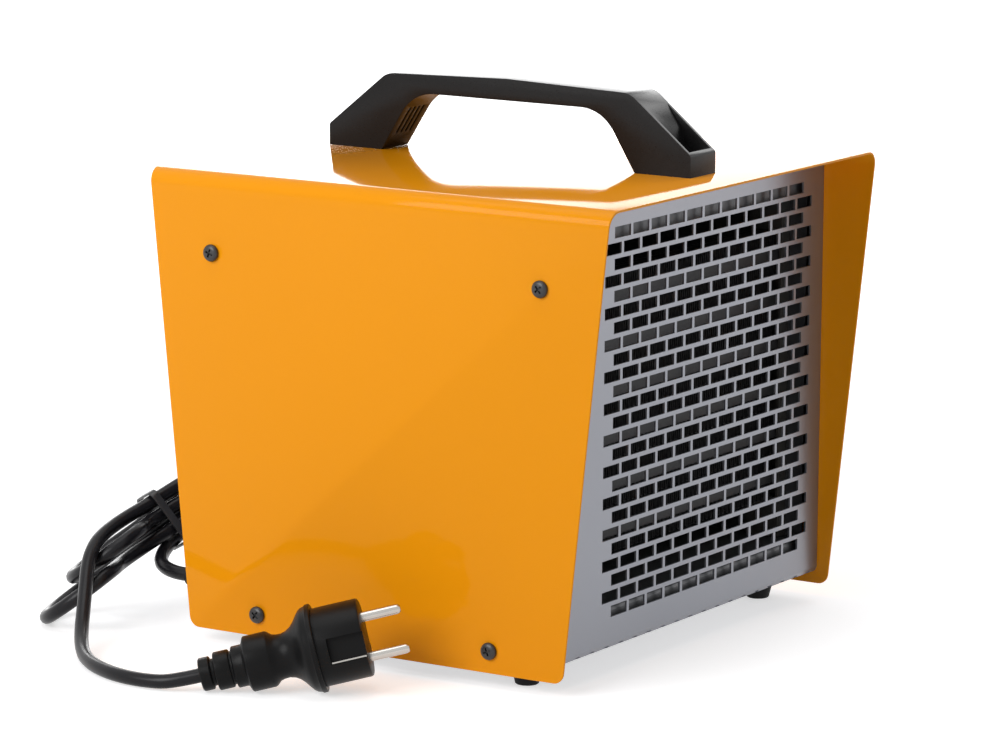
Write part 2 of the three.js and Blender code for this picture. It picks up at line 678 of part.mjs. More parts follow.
/** A channel that the stack slides into, closed below and above the stack. */
function railGeometry([from, to], mouth) {
  const channel = block(
    [mouth < 0 ? from - 1 : from + RAIL_WALL, mouth < 0 ? to - RAIL_WALL : to + 1],
    [RAIL_Y[0] + RAIL_WALL, RAIL_Y[1] - RAIL_WALL],
    [BARS_Z - STACK_HALF, BARS_Z + STACK_HALF],
  );
  return cut(block([from, to], RAIL_Y, RAIL_Z), channel);
}
const leftRail = railGeometry([ACROSS_DUCT[0], ACROSS_DUCT[0] + RAIL_WIDTH], 1);
part('element_rail_left', 'whiteCeramic', cut(leftRail, tabWindow([PARTITION_X, PARTITION_X + RAIL_WIDTH / 2])));
part('element_rail_right', 'whiteCeramic', railGeometry([ACROSS_DUCT[1] - RAIL_WIDTH, ACROSS_DUCT[1]], -1));

const FIN_HEIGHT = (BAR_PITCH - BAR_HEIGHT) / 2 - CLEARANCE;
const FIN_BOND = 0.2; // how deep the fins' folds sit in the bar's bonding layer
const TAB_TIP_X = PARTITION_X - DUCT_SHEET - TAB_REACH;

/** A sheet folded up and down between two heights. */
function finGeometry(low, high) {
  const [from, to] = BAR_ENDS;
  const folds = 2 * Math.floor((to - from) / FIN_PERIOD);
  const upper = Array.from({ length: folds + 1 }, (_, i) => [
    from + ((to - from) * i) / folds,
    i % 2 === 0 ? low + FIN_SHEET : high,
  ]);
  const lower = upper.map(([x, z]) => [x, z - FIN_SHEET]).reverse();
  return prismY(flat([...upper, ...lower]), [BAR_Y - FIN_DEPTH / 2, BAR_Y + FIN_DEPTH / 2]);
}

/** A heating bar with a fin sheet bonded above and below it, and two tabs at its left end. */
function heatingBar(z) {
  const half = BAR_HEIGHT / 2;
  const bar = block(BAR_ENDS, [BAR_Y - BAR_DEPTH / 2, BAR_Y + BAR_DEPTH / 2], [z - half, z + half]);
  const tabs = SIDES.map((side) => block(
    [TAB_TIP_X, BAR_ENDS[0] + 1],
    [BAR_Y + side * TAB_OFFSET - TAB_WIDTH / 2, BAR_Y + side * TAB_OFFSET + TAB_WIDTH / 2],
    [z - TAB_THICKNESS / 2, z + TAB_THICKNESS / 2],
  ));
  const above = finGeometry(z + half - FIN_BOND, z + half + FIN_HEIGHT);
  const below = finGeometry(z - half - FIN_HEIGHT, z - half + FIN_BOND);
  return join(bar, above, below, ...tabs);
}
for (let i = 0; i < BAR_COUNT; i += 1) {
  part(`heating_bar_${i + 1}`, 'aluminium', heatingBar(barZ(i)));
}

/** A strip with a slot for each tab it is pushed over. */
function busbar(y, first, last) {
  const x = [TAB_TIP_X + TAB_REACH / 3, TAB_TIP_X + TAB_REACH / 3 + TAB_THICKNESS];
  const half = TAB_WIDTH / 2 + CLEARANCE;
  const strip = block(x, [y - half - 1, y + half + 1], [barZ(first) - TAB_WIDTH, barZ(last) + TAB_WIDTH]);
  const slots = Array.from({ length: last - first + 1 }, (_, i) => {
    const z = barZ(first + i);
    const reach = TAB_THICKNESS / 2 + CLEARANCE;
    return block([x[0] - 1, x[1] + 1], [y - half, y + half], [z - reach, z + reach]);
  });
  return cut(strip, ...slots);
}
part('busbar_live', 'copper', busbar(BAR_Y - TAB_OFFSET, 0, BAR_COUNT - 1));
part('busbar_neutral', 'copper', busbar(BAR_Y + TAB_OFFSET, 0, BAR_COUNT - 1));

const cutoutBack = -(DUCT_SHEET + CLEARANCE);
const cutoutCap = turned('x', [
  [0, CUTOUT_RADIUS / 2],
  [CUTOUT_RADIUS, CUTOUT_RADIUS / 2],
  [CUTOUT_RADIUS, cutoutBack],
  [CUTOUT_RADIUS + 2.5, cutoutBack],
  [CUTOUT_RADIUS + 2.5, cutoutBack - 2],
  [CUTOUT_RADIUS, cutoutBack - 2],
  [CUTOUT_RADIUS, -CUTOUT_DEPTH],
  [0, -CUTOUT_DEPTH],
]);
const cutoutTabs = SIDES.map((side) => block(
  [-CUTOUT_DEPTH - TAB_REACH / 2, -CUTOUT_DEPTH + 1],
  [side * TAB_OFFSET - TAB_THICKNESS / 2, side * TAB_OFFSET + TAB_THICKNESS / 2],
  [-TAB_WIDTH / 2, TAB_WIDTH / 2],
));
part('thermal_cutout', 'brownPlastic', join(cutoutCap, ...cutoutTabs), [PARTITION_X, CUTOUT_Y, CUTOUT_Z]);

// ---- fan: shroud, strap, motor, shaft, impeller and nut, all on one axis

const SHROUD_RADIUS = FAN_RADIUS + FAN_TIP_GAP;
const STRAP_HALF = SHROUD_RADIUS + STRAP_LAP;
const onFan = (y) => [DUCT_MID_X, y, DUCT_MID_Z];
const shroudPlate = block(ACROSS_DUCT, [SHROUD_Y, SHROUD_Y + DUCT_SHEET], [BASE_TOP + CLEARANCE, PLATE_TOP - CLEARANCE]);
const shroudHole = rod('y', SHROUD_RADIUS + DUCT_SHEET / 2, [SHROUD_Y - 1, SHROUD_Y + 2], onFan(0), 30);
const collar = ring('y', [
  [SHROUD_RADIUS, SHROUD_Y],
  [SHROUD_RADIUS + DUCT_SHEET, SHROUD_Y],
  [SHROUD_RADIUS + DUCT_SHEET, SHROUD_Y + SHROUD_COLLAR],
  [SHROUD_RADIUS, SHROUD_Y + SHROUD_COLLAR],
], 30).translate(...onFan(0));
part('fan_shroud', 'galvanised', join(cut(shroudPlate, shroudHole), collar));

// The strap is spot-welded to the shroud at both ends.
const strap = cut(
  block(
    [DUCT_MID_X - STRAP_WIDTH / 2, DUCT_MID_X + STRAP_WIDTH / 2],
    [STRAP_Y, STRAP_Y + STRAP_THICKNESS],
    [DUCT_MID_Z - STRAP_HALF, DUCT_MID_Z + STRAP_HALF],
  ),
  rod('y', MOTOR_BOSS_RADIUS + CLEARANCE, [STRAP_Y - 1, SHROUD_Y + 1], onFan(0), 20),
);
part('motor_strap', 'steel', strap);

const motorShell = turned('y', [
  [0, -MOTOR_LENGTH],
  [MOTOR_RADIUS * 0.6, -MOTOR_LENGTH],
  [MOTOR_RADIUS * 0.7, -MOTOR_LENGTH * 0.85],
  [MOTOR_RADIUS, -MOTOR_LENGTH * 0.8],
  [MOTOR_RADIUS, 0],
  [MOTOR_BOSS_RADIUS, 0],
  [MOTOR_BOSS_RADIUS, MOTOR_BOSS_LENGTH],
  [SHAFT_RADIUS + CLEARANCE, MOTOR_BOSS_LENGTH],
  [SHAFT_RADIUS + CLEARANCE, -MOTOR_LENGTH / 2],
  [0, -MOTOR_LENGTH / 2],
], 18).translate(...onFan(MOTOR_REAR_Y));
part('motor_body', 'blackSteel', motorShell);
const motorNut = hexNut(MOTOR_BOSS_RADIUS, MOTOR_NUT_THICKNESS);
part('motor_nut', 'steel', motorNut, onFan(STRAP_Y + STRAP_THICKNESS + CLEARANCE));

const HUB_END_Y = HUB_Y + HUB_LENGTH;
const NUT_END_Y = HUB_END_Y + CLEARANCE + FAN_NUT_HEIGHT;
const shaftStart = MOTOR_REAR_Y - MOTOR_LENGTH / 2 + CLEARANCE;
part('motor_shaft', 'steel', rod('y', SHAFT_RADIUS, [shaftStart, NUT_END_Y + 2], [0, 0, 0], 12), onFan(0));

/** Blades are flat plates set into the hub, turned out of the fan's plane. */
function impellerGeometry() {
  const hub = ring('y', [
    [SHAFT_RADIUS + CLEARANCE, 0],
    [HUB_RADIUS, 0],
    [HUB_RADIUS, HUB_LENGTH - 3],
    [HUB_RADIUS - 3, HUB_LENGTH],
    [SHAFT_RADIUS + CLEARANCE, HUB_LENGTH],
  ], 24);
  const root = HUB_RADIUS - 4;
  const tip = Math.sqrt(FAN_RADIUS ** 2 - (BLADE_CHORD / 2) ** 2);
  const blades = Array.from({ length: BLADE_COUNT }, (_, i) =>
    block([-BLADE_CHORD / 2, BLADE_CHORD / 2], [-BLADE_THICKNESS / 2, BLADE_THICKNESS / 2], [root, tip])
      .rotateZ(radians(BLADE_PITCH))
      .translate(0, HUB_LENGTH / 2, 0)
      .rotateY((2 * Math.PI * i) / BLADE_COUNT));
  return join(hub, ...blades);
}
part('fan_impeller', 'blackPlastic', impellerGeometry(), onFan(HUB_Y));

part('fan_nut', 'steel', hexNut(SHAFT_RADIUS, FAN_NUT_HEIGHT), onFan(HUB_END_Y + CLEARANCE));

// ---- screws

/** A pan-head screw along an axis: the head starts at seat, the shank runs back against the direction. */
function screw(axis, direction, reach, scale = 1) {
  const shank = SCREW_RADIUS * scale;
  const head = SCREW_HEAD_RADIUS * scale;
  const height = SCREW_HEAD_HEIGHT * scale;
  const profile = [
    [0, -reach],
    [shank, -reach],
    [shank, 0],
    [head, 0],
    [head, height * 0.5],
    [head * 0.7, height],
    [0, height],
  ];
  const points = direction < 0 ? profile.map(([r, h]) => [r, -h]).reverse() : profile;
  return turned(axis, points, 8);
}

const coverSeat = WIDTH / 2 + CLEARANCE;
SIDES.forEach((side) => SIDE_SCREWS.forEach(([y, z]) => {
  const level = z > COVER_TOP / 2 ? 'upper' : 'lower';
  const name = `screw_${side < 0 ? 'left' : 'right'}_${level}_${y < 0 ? 'front' : 'rear'}`;
  part(name, 'blackSteel', screw('x', side, SCREW_REACH), [side * coverSeat, y, z]);
}));

// ---- feet

const footTop = BASE_Z - CLEARANCE;
const neckTop = BASE_TOP + CLEARANCE;
const foot = turned('z', [
  [0, 0],
  [FOOT_TOE_RADIUS, 0],
  [FOOT_TOP_RADIUS, footTop],
  [FOOT_NECK_RADIUS, footTop],
  [FOOT_NECK_RADIUS, neckTop],
  [FOOT_NECK_RADIUS + 1.5, neckTop],
  [FOOT_NECK_RADIUS, neckTop + 4],
  [0, neckTop + 4],
], 12);
FOOT_PLACES.forEach(([x, y]) => {
  const name = `foot_${y < 0 ? 'front' : 'rear'}_${x < 0 ? 'left' : 'right'}`;
  part(name, 'rubber', foot, [x, y, 0]);
});

// ---- handle, held by two screws from inside the cover

function handleGeometry() {
  const top = HANDLE_Z + HANDLE_RISE;
  const shoulder = top - HANDLE_EDGE;
  const half = HANDLE_LENGTH / 2;
  const crest = HANDLE_CREST_LENGTH / 2;
  const foot = half - HANDLE_FOOT_LENGTH;
  const window = HANDLE_WINDOW_LENGTH / 2;
  const outline = rounded(
    [
      [-half, HANDLE_Z], [-foot, HANDLE_Z],
      [-window, top - HANDLE_GRIP], [window, top - HANDLE_GRIP],
      [foot, HANDLE_Z], [half, HANDLE_Z],
      [half, HANDLE_Z + HANDLE_HEEL], [crest, shoulder], [0, top], [-crest, shoulder],
      [-half, HANDLE_Z + HANDLE_HEEL],
    ],
    [0, 0, HANDLE_WINDOW_RADIUS, HANDLE_WINDOW_RADIUS, 0, 0, HANDLE_EDGE, 12, 0, 12, HANDLE_EDGE],
  );
  const bar = prismX(outline, [-HANDLE_WIDTH / 2, HANDLE_WIDTH / 2]);
  // Each pocket is deep behind the heel, clears the screw below it and runs out in a ramp to the crest.
  const slope = (shoulder - HANDLE_Z - HANDLE_HEEL) / (half - crest);
  const slantAt = (y) => HANDLE_Z + HANDLE_HEEL + (half - y) * slope;
  const rim = half - POCKET_RIM;
  const rampFoot = rim - POCKET_DEEP_LENGTH;
  const rampTop = rampFoot - POCKET_RAMP_LENGTH;
  const floor = HANDLE_Z + POCKET_FLOOR;
  const pocket = [
    [rim, floor], [rim, slantAt(rim) + 4], [rampTop, slantAt(rampTop) + 4], [rampTop, slantAt(rampTop)],
    [rampFoot - 1.5, slantAt(rampFoot - 1.5) - 4], [rampFoot, floor + 7], [rim - POCKET_FLOOR_LENGTH, floor],
  ];
  const across = [-HANDLE_WIDTH / 2 + POCKET_RIM, HANDLE_WIDTH / 2 - POCKET_RIM];
  const pockets = SIDES.map((end) =>
    prismX(end > 0 ? pocket : pocket.map(([y, z]) => [-y, z]).reverse(), across));
  const bores = SIDES.map((end) =>
    rod('z', HANDLE_SCREW_RADIUS + CLEARANCE, [COVER_TOP, handleScrewTop + CLEARANCE], [0, end * HANDLE_SCREW_Y, 0]));
  return cut(bar, ...pockets, ...bores);
}
const handleScrewSeat = COVER_TOP - COVER_SHEET - CLEARANCE;
const handleScrewTop = handleScrewSeat + HANDLE_SCREW_LENGTH;
part('handle', 'blackPlastic', handleGeometry());
SIDES.forEach((end) => part(
  end < 0 ? 'handle_screw_front' : 'handle_screw_rear',
  'steel',
  screw('z', -1, HANDLE_SCREW_LENGTH, HANDLE_SCREW_RADIUS / SCREW_RADIUS),
  [0, end * HANDLE_SCREW_Y, handleScrewSeat],
));

// ---- controls: a rotary switch and a thermostat behind the rear panel, each with a knob

const BODY_Y = REAR_INNER - CLEARANCE;
const KNOB_Y = REAR_Y + NUT_HEIGHT + KNOB_STANDOFF;
const STEM_END = BODY_Y - THERMOSTAT_DEPTH / 2 + CLEARANCE;
const STEM_BORE = STEM_RADIUS + CLEARANCE;

/** A body with a threaded bush through the panel and a bore for its knob's stem. */
function controlBody(shell, depth, z) {
  const bush = rod('y', BUSH_RADIUS, [BODY_Y - 2, REAR_Y + NUT_HEIGHT], [CONTROL_X, 0, z], 20);
  const bore = rod('y', STEM_BORE, [BODY_Y - depth / 2, REAR_Y + NUT_HEIGHT + 1], [CONTROL_X, 0, z], 14);
  return cut(join(shell, bush), bore);
}
const switchHalf = SWITCH_SIZE / 2;
const switchShell = block(
  [CONTROL_X - switchHalf, CONTROL_X + switchHalf],
  [BODY_Y - SWITCH_DEPTH, BODY_Y],
  [MODE_Z - switchHalf, MODE_Z + switchHalf],
);
part('mode_switch', 'brownPlastic', controlBody(switchShell, SWITCH_DEPTH, MODE_Z));
const thermostatShell = rod('y', THERMOSTAT_RADIUS, [BODY_Y - THERMOSTAT_DEPTH, BODY_Y], [CONTROL_X, 0, THERMOSTAT_Z], 20);
part('thermostat_body', 'steel', controlBody(thermostatShell, THERMOSTAT_DEPTH, THERMOSTAT_Z));

/** A dial with a bar grip and a stem moulded on its back. */
function knobGeometry() {
  const dial = turned('y', [
    [0, STEM_END - KNOB_Y],
    [STEM_RADIUS, STEM_END - KNOB_Y],
    [STEM_RADIUS, 0],
    [KNOB_RADIUS, 0],
    [KNOB_RADIUS, KNOB_HEIGHT * 0.3],
    [KNOB_RADIUS - 2, KNOB_HEIGHT * 0.4],
    [0, KNOB_HEIGHT * 0.4],
  ], 18);
  const grip = block(
    [-KNOB_GRIP / 2, KNOB_GRIP / 2],
    [KNOB_HEIGHT * 0.2, KNOB_HEIGHT],
    [2 - KNOB_RADIUS, KNOB_RADIUS - 2],
  );
  return join(dial, grip);
}
const controlNut = hexNut(BUSH_RADIUS, NUT_HEIGHT - CLEARANCE);
[['mode', MODE_Z], ['thermostat', THERMOSTAT_Z]].forEach(([name, z]) => {
  part(`${name}_knob`, 'blackPlastic', knobGeometry(), [CONTROL_X, KNOB_Y, z]);
  part(`${name}_nut`, 'steel', controlNut, [CONTROL_X, REAR_Y + CLEARANCE, z]);
});

const bulb = rod('x', BULB_RADIUS, [PARTITION_X - BULB_LENGTH / 2, PARTITION_X + BULB_LENGTH / 2], [0, BULB_Y, BULB_Z], 10);
const capillary = tube([
  [CONTROL_X, BODY_Y - THERMOSTAT_DEPTH - CLEARANCE, THERMOSTAT_Z],
  [CONTROL_X, BODY_Y - THERMOSTAT_DEPTH - 3, THERMOSTAT_Z],
  [CONTROL_X, BODY_Y - THERMOSTAT_DEPTH - 8, THERMOSTAT_Z - 6],
  [CONTROL_X, BULB_Y - 4, (THERMOSTAT_Z + BULB_Z) / 2],
  [CONTROL_X, BULB_Y, BULB_Z + 5],
  [PARTITION_X - BULB_LENGTH / 2 + 1, BULB_Y, BULB_Z],
], CAPILLARY_RADIUS, 5, 14);
part('thermostat_bulb', 'copper', join(bulb, capillary));

// ---- terminal block, strain relief and wires

const BLOCK_Z = BASE_TOP + CLEARANCE;
const BLOCK_Y = [BLOCK_REAR_Y - BLOCK_LENGTH, BLOCK_REAR_Y];
const blockScrewY = (BLOCK_Y[0] + BLOCK_Y[1]) / 2;
const terminals = [-1, 0, 1].map((i) => rod('y', CORE_RADIUS + 0.9, [BLOCK_Y[0] - 1, BLOCK_Y[1] + 1],
  [CONTROL_X + i * CORE_PITCH, 0, BLOCK_Z + BLOCK_HEIGHT * 0.72], 8));
const blockBody = block(
  [CONTROL_X - BLOCK_WIDTH / 2, CONTROL_X + BLOCK_WIDTH / 2],
  BLOCK_Y,
  [BLOCK_Z, BLOCK_Z + BLOCK_HEIGHT],
);
part('terminal_block', 'whiteCeramic', cut(blockBody, ...terminals));

const relief = turned('y', [
  [0, -RELIEF_COLLAR],
  [RELIEF_RADIUS + 2.4, -RELIEF_COLLAR],
  [RELIEF_RADIUS + 2.4, 0],
  [RELIEF_RADIUS, 0],
  [RELIEF_RADIUS, CHASSIS_SHEET + 2 * CLEARANCE],
  [RELIEF_RADIUS + 1.8, CHASSIS_SHEET + 2 * CLEARANCE],
  [RELIEF_RADIUS + 1.2, CHASSIS_SHEET + 4],
  [RELIEF_RADIUS - 0.6, CHASSIS_SHEET + 4.4],
  [RELIEF_RADIUS - 0.6, RELIEF_REACH * 0.5],
  [RELIEF_RADIUS - 1.4, RELIEF_REACH],
  [0, RELIEF_REACH],
], 12);
part('strain_relief', 'rubber', relief, [RELIEF_X, BODY_Y, RELIEF_HEIGHT]);

/** Wires that share one bundle, joined into one piece. */
const loom = (radius, routes) => join(...routes.map((points) => tube(points, radius, 5, 6)));
const reliefInside = BODY_Y - RELIEF_COLLAR - CLEARANCE;
const terminalZ = BLOCK_Z + BLOCK_HEIGHT * 0.72;
const coreEnds = [-1, 0, 1].map((i) => [
  [RELIEF_X + i * CORE_RADIUS, reliefInside - 2, RELIEF_HEIGHT],
  [RELIEF_X + i * CORE_RADIUS * 2, reliefInside - 9, RELIEF_HEIGHT],
  [CONTROL_X + i * CORE_PITCH, BLOCK_REAR_Y + 5, terminalZ],
  [CONTROL_X + i * CORE_PITCH, BLOCK_REAR_Y + CLEARANCE, terminalZ],
]);
part('cord_cores', 'wire', join(
  loom(CORE_RADIUS, coreEnds),
  rod('y', CORD_DIAMETER / 2, [reliefInside - 5, reliefInside], [RELIEF_X, 0, RELIEF_HEIGHT], 12),
));

const LOOM_X = TAB_TIP_X - 5;
const LOOM_Y = 10;
const switchBackY = BODY_Y - SWITCH_DEPTH - CLEARANCE;
const thermostatBackY = BODY_Y - THERMOSTAT_DEPTH - CLEARANCE;
const busbarX = TAB_TIP_X + TAB_REACH / 3 - CLEARANCE;
const loomKnot = [LOOM_X, LOOM_Y, WIRE_HOLE_Z];
const cutoutTipX = PARTITION_X - CUTOUT_DEPTH - TAB_REACH / 2;
const fromBusbar = (y, z) => [[busbarX, y, z], [busbarX - 3, y, z], [LOOM_X, y + 6, z]];
part('wiring_loom', 'wire', loom(CORE_RADIUS, [
  [
    ...fromBusbar(BAR_Y - TAB_OFFSET, barZ(4) + BAR_PITCH / 2),
    [LOOM_X, -30, WIRE_HOLE_Z],
    loomKnot,
  ],
  [
    ...fromBusbar(BAR_Y + TAB_OFFSET, barZ(1) + BAR_PITCH / 2),
    [LOOM_X, -24, WIRE_HOLE_Z - 14],
    loomKnot,
  ],
  [
    [CONTROL_X, switchBackY, MODE_Z],
    [CONTROL_X, switchBackY - 4, MODE_Z],
    [LOOM_X, LOOM_Y + 14, WIRE_HOLE_Z + 8],
    loomKnot,
  ],
  [
    [CONTROL_X + 4, thermostatBackY, THERMOSTAT_Z + 8],
    [CONTROL_X + 4, thermostatBackY - 4, THERMOSTAT_Z + 8],
    [LOOM_X, LOOM_Y + 16, WIRE_HOLE_Z - 8],
    loomKnot,
  ],
  [
    [CONTROL_X, BLOCK_Y[0] - CLEARANCE, terminalZ],
    [CONTROL_X, BLOCK_Y[0] - 5, terminalZ],
    [LOOM_X, LOOM_Y, WIRE_HOLE_Z - 60],
    loomKnot,
  ],
  [
    [DUCT_MID_X - MOTOR_RADIUS - CLEARANCE, MOTOR_REAR_Y - 10, DUCT_MID_Z],
    [DUCT_MID_X - MOTOR_RADIUS - 5, MOTOR_REAR_Y - 10, DUCT_MID_Z],
    [PARTITION_X + 8, WIRE_HOLE_Y, WIRE_HOLE_Z],
    [PARTITION_X - 6, WIRE_HOLE_Y, WIRE_HOLE_Z],
    loomKnot,
  ],
  [
    [cutoutTipX - CLEARANCE, CUTOUT_Y + TAB_OFFSET, CUTOUT_Z],
    [cutoutTipX - 3, CUTOUT_Y + TAB_OFFSET, CUTOUT_Z],
    [LOOM_X, CUTOUT_Y + 18, CUTOUT_Z - 4],
    [LOOM_X, -10, WIRE_HOLE_Z + 12],
    loomKnot,
  ],
]));

// ---- cord: out of the strain relief, into the tied hank, and on to the plug

const HEADING = radians(HANK_HEADING);
const RISE = radians(HANK_RISE);
const ROLL = radians(HANK_ROLL);
const vector = (...v) => new THREE.Vector3(...v);

// Directions of the hank: along its runs, across them in a loop's plane, and from loop to loop.
const hankAlong = vector(Math.cos(HEADING) * Math.cos(RISE), Math.sin(HEADING) * Math.cos(RISE), Math.sin(RISE));
const level = vector(Math.sin(HEADING), -Math.cos(HEADING), 0);
const steep = vector().crossVectors(level, hankAlong);
const hankAcross = level.clone().multiplyScalar(Math.cos(ROLL)).addScaledVector(steep, Math.sin(ROLL));
const hankUp = vector().crossVectors(hankAlong, hankAcross);
if (hankUp.z < 0) hankUp.negate();

const inHank = ([s, t, h]) => vector(...HANK_CORNER)
  .addScaledVector(hankAlong, s)
  .addScaledVector(hankAcross, t)
  .addScaledVector(hankUp, h);

// From a low fold to the straight waist, each run takes one bend out and one back, both as wide as the fold.
const HANK_TURN = Math.sqrt((2 * HANK_FOLD) ** 2 - (HANK_WAIST_HALF + HANK_FOLD) ** 2);

/** Half the width between the two runs of a loop, drawn in at the waist. */
function halfWidth(s, low) {
  if (s >= HANK_WAIST) {
    const share = Math.min(1, (s - HANK_WAIST) / (HANK_RUN - HANK_WAIST));
    return HANK_WAIST_HALF + (HANK_FOLD - HANK_WAIST_HALF) * (0.5 - 0.5 * Math.cos(Math.PI * share));
  }
  const past = s - low;
  if (past <= HANK_TURN / 2) return Math.sqrt(HANK_FOLD ** 2 - past ** 2);
  if (past >= HANK_TURN) return HANK_WAIST_HALF;
  return HANK_WAIST_HALF + HANK_FOLD - Math.sqrt(HANK_FOLD ** 2 - (HANK_TURN - past) ** 2);
}

const FOLD_STEPS = 7;
const TURN_STEPS = 4;
const HIGH_RUN_STEPS = 4; // waist to high fold

/** The places along a run where the line is set out, from a low fold up to the high one. */
function stations(low) {
  const turn = Array.from({ length: TURN_STEPS }, (_, i) => low + (HANK_TURN * (i + 1)) / TURN_STEPS);
  const high = Array.from({ length: HIGH_RUN_STEPS }, (_, i) =>
    HANK_WAIST + ((HANK_RUN - HANK_WAIST) * i) / HIGH_RUN_STEPS);
  return [...turn.filter((s) => s < HANK_WAIST - 1), ...high];
}

/** The hank's centre line in its own directions: up a far run, over the high fold, down a near run that climbs. */
function hankLine() {
  const line = [[HANK_START, -halfWidth(HANK_START, 0), 0]];
  [null, ...HANK_REACH].forEach((low, loop) => {
    const h = loop * HANK_LAYER;
    if (low !== null) {
      for (let i = 0; i <= FOLD_STEPS; i += 1) {
        const a = (Math.PI * i) / FOLD_STEPS;
        line.push([low - HANK_FOLD * Math.sin(a), HANK_FOLD * Math.cos(a), h]);
      }
    }
    stations(low ?? 0)
      .filter((s) => low !== null || s > HANK_START + CORD_DIAMETER)
      .forEach((s) => line.push([s, -halfWidth(s, low ?? 0), h]));
    for (let i = 0; i <= FOLD_STEPS; i += 1) {
      const a = (Math.PI * i) / FOLD_STEPS;
      line.push([HANK_RUN + HANK_FOLD * Math.sin(a), -HANK_FOLD * Math.cos(a), h]);
    }
    const last = loop === HANK_REACH.length;
    const next = last ? low : HANK_REACH[loop];
    const down = stations(next).reverse().filter((s) => !last || s > HANK_END + CORD_DIAMETER);
    if (last) down.push(HANK_END);
    down.forEach((s) => {
      const share = (HANK_RUN - s) / (HANK_RUN - next);
      line.push([s, halfWidth(s, next), h + HANK_LAYER * share * share * (3 - 2 * share)]);
    });
  });
  return line.map(inHank);
}

/** One unbroken tube through the points, its rings carried along without twist. */
function sweep(line, radius, sides) {
  const positions = [];
  const index = [];
  let side = null;
  const tangentAt = (i) => line[Math.min(i + 1, line.length - 1)].clone().sub(line[Math.max(i - 1, 0)]).normalize();
  line.forEach((point, i) => {
    const tangent = tangentAt(i);
    const guess = side ?? new THREE.Vector3(0, 0, 1);
    side = guess.clone().addScaledVector(tangent, -guess.dot(tangent)).normalize();
    const other = new THREE.Vector3().crossVectors(tangent, side);
    circle(radius, sides).forEach((c) => {
      positions.push(...point.clone().addScaledVector(side, c.x).addScaledVector(other, c.y));
    });
  });
  for (let i = 0; i < line.length - 1; i += 1) {
    for (let k = 0; k < sides; k += 1) {
      const a = i * sides + k;
      const b = i * sides + ((k + 1) % sides);
      index.push(a, b, b + sides, a, b + sides, a + sides);
    }
  }
  const end = (line.length - 1) * sides;
  for (let k = 1; k < sides - 1; k += 1) {
    index.push(0, k + 1, k, end, end + k, end + k + 1);
  }
  const geometry = new THREE.BufferGeometry();
  geometry.setAttribute('position', new THREE.Float32BufferAttribute(positions, 3));
  geometry.setIndex(index);
  return geometry;
}

/** The least gap between two parts of one cord, measured between its points and short of its neighbours. */
function leastGap(line, diameter) {
  const fine = new THREE.CurvePath();
  line.slice(1).forEach((p, i) => fine.add(new THREE.LineCurve3(line[i], p)));
  const points = fine.getSpacedPoints(Math.round(fine.getLength() / 2));
  let least = Infinity;
  points.forEach((p, i) => {
    points.slice(i + Math.round(diameter * 2)).forEach((q) => {
      least = Math.min(least, p.distanceTo(q) - diameter);
    });
  });
  return least;
}

const CORD_RADIUS = CORD_DIAMETER / 2;
const hankPoints = hankLine();
part('cord_hank', 'cordSheath', sweep(hankPoints, CORD_RADIUS, 6));
console.log(`least gap in the hank: ${leastGap(hankPoints, CORD_DIAMETER).toFixed(2)} mm`);

const hankStart = hankPoints[0];
const hankEnd = hankPoints.at(-1);
const startAlong = hankPoints[1].clone().sub(hankStart).normalize();
const endAlong = hankEnd.clone().sub(hankPoints.at(-2)).normalize();
const beyond = (point, along, distance) => point.clone().addScaledVector(along, distance).toArray();

const reliefTip = BODY_Y + RELIEF_REACH;
const exitRoute = [
  [RELIEF_X, reliefTip + CLEARANCE, RELIEF_HEIGHT],
  [RELIEF_X, reliefTip + 4.3, RELIEF_HEIGHT],
  [-111.1, 129.9, 28.1],
  [-109.1, 135.3, 28.4],
  [-106.2, 140.2, 28.8],
  [-102.4, 144.5, 29.5],
  [-98, 147.9, 30.4],
  [-93, 150.5, 31.7],
  [-87.8, 152.3, 33.2],
  [-82.5, 153.2, 35.1],
  beyond(hankStart, startAlong, -CORD_DIAMETER - CLEARANCE),
  beyond(hankStart, startAlong, -CLEARANCE),
];
part('cord_exit', 'cordSheath', tube(exitRoute, CORD_RADIUS, 8, 10));

const plugHeading = radians(PLUG_HEADING);
const plugTilt = radians(PLUG_TILT);
const plugAlong = vector(
  Math.cos(plugHeading) * Math.cos(plugTilt),
  Math.sin(plugHeading) * Math.cos(plugTilt),
  Math.sin(plugTilt),
);
const plugTail = vector(...PLUG_TAIL);
const leadRoute = [
  beyond(hankEnd, endAlong, CLEARANCE),
  beyond(hankEnd, endAlong, 5),
  [-104.3, 163.5, 51.1],
  [-113.6, 164.7, 48.2],
  [-123.1, 164.6, 45.3],
  [-132.2, 163, 42],
  [-140.8, 159.9, 38],
  [-148.4, 156, 32.9],
  [-155.2, 151.8, 27.4],
  [-161.8, 147.7, 21.7],
  [-168.5, 143.5, 16.3],
  [-175.5, 139, 11.6],
  [-182.8, 133.8, 7.9],
  [-190.2, 127.7, 5.4],
  [-197.3, 120.8, 4.1],
  [-203.9, 113.2, 3.7],
  [-209.7, 105, 3.7],
  [-214.4, 96.2, 3.7],
  [-218, 86.8, 3.7],
  [-220.1, 77, 3.7],
  [-220.4, 67, 3.8],
  [-218.8, 57.2, 4.4],
  beyond(plugTail, plugAlong, -5),
  beyond(plugTail, plugAlong, -CLEARANCE),
];
part('cord_lead', 'cordSheath', tube(leadRoute, CORD_RADIUS, 8, 24));

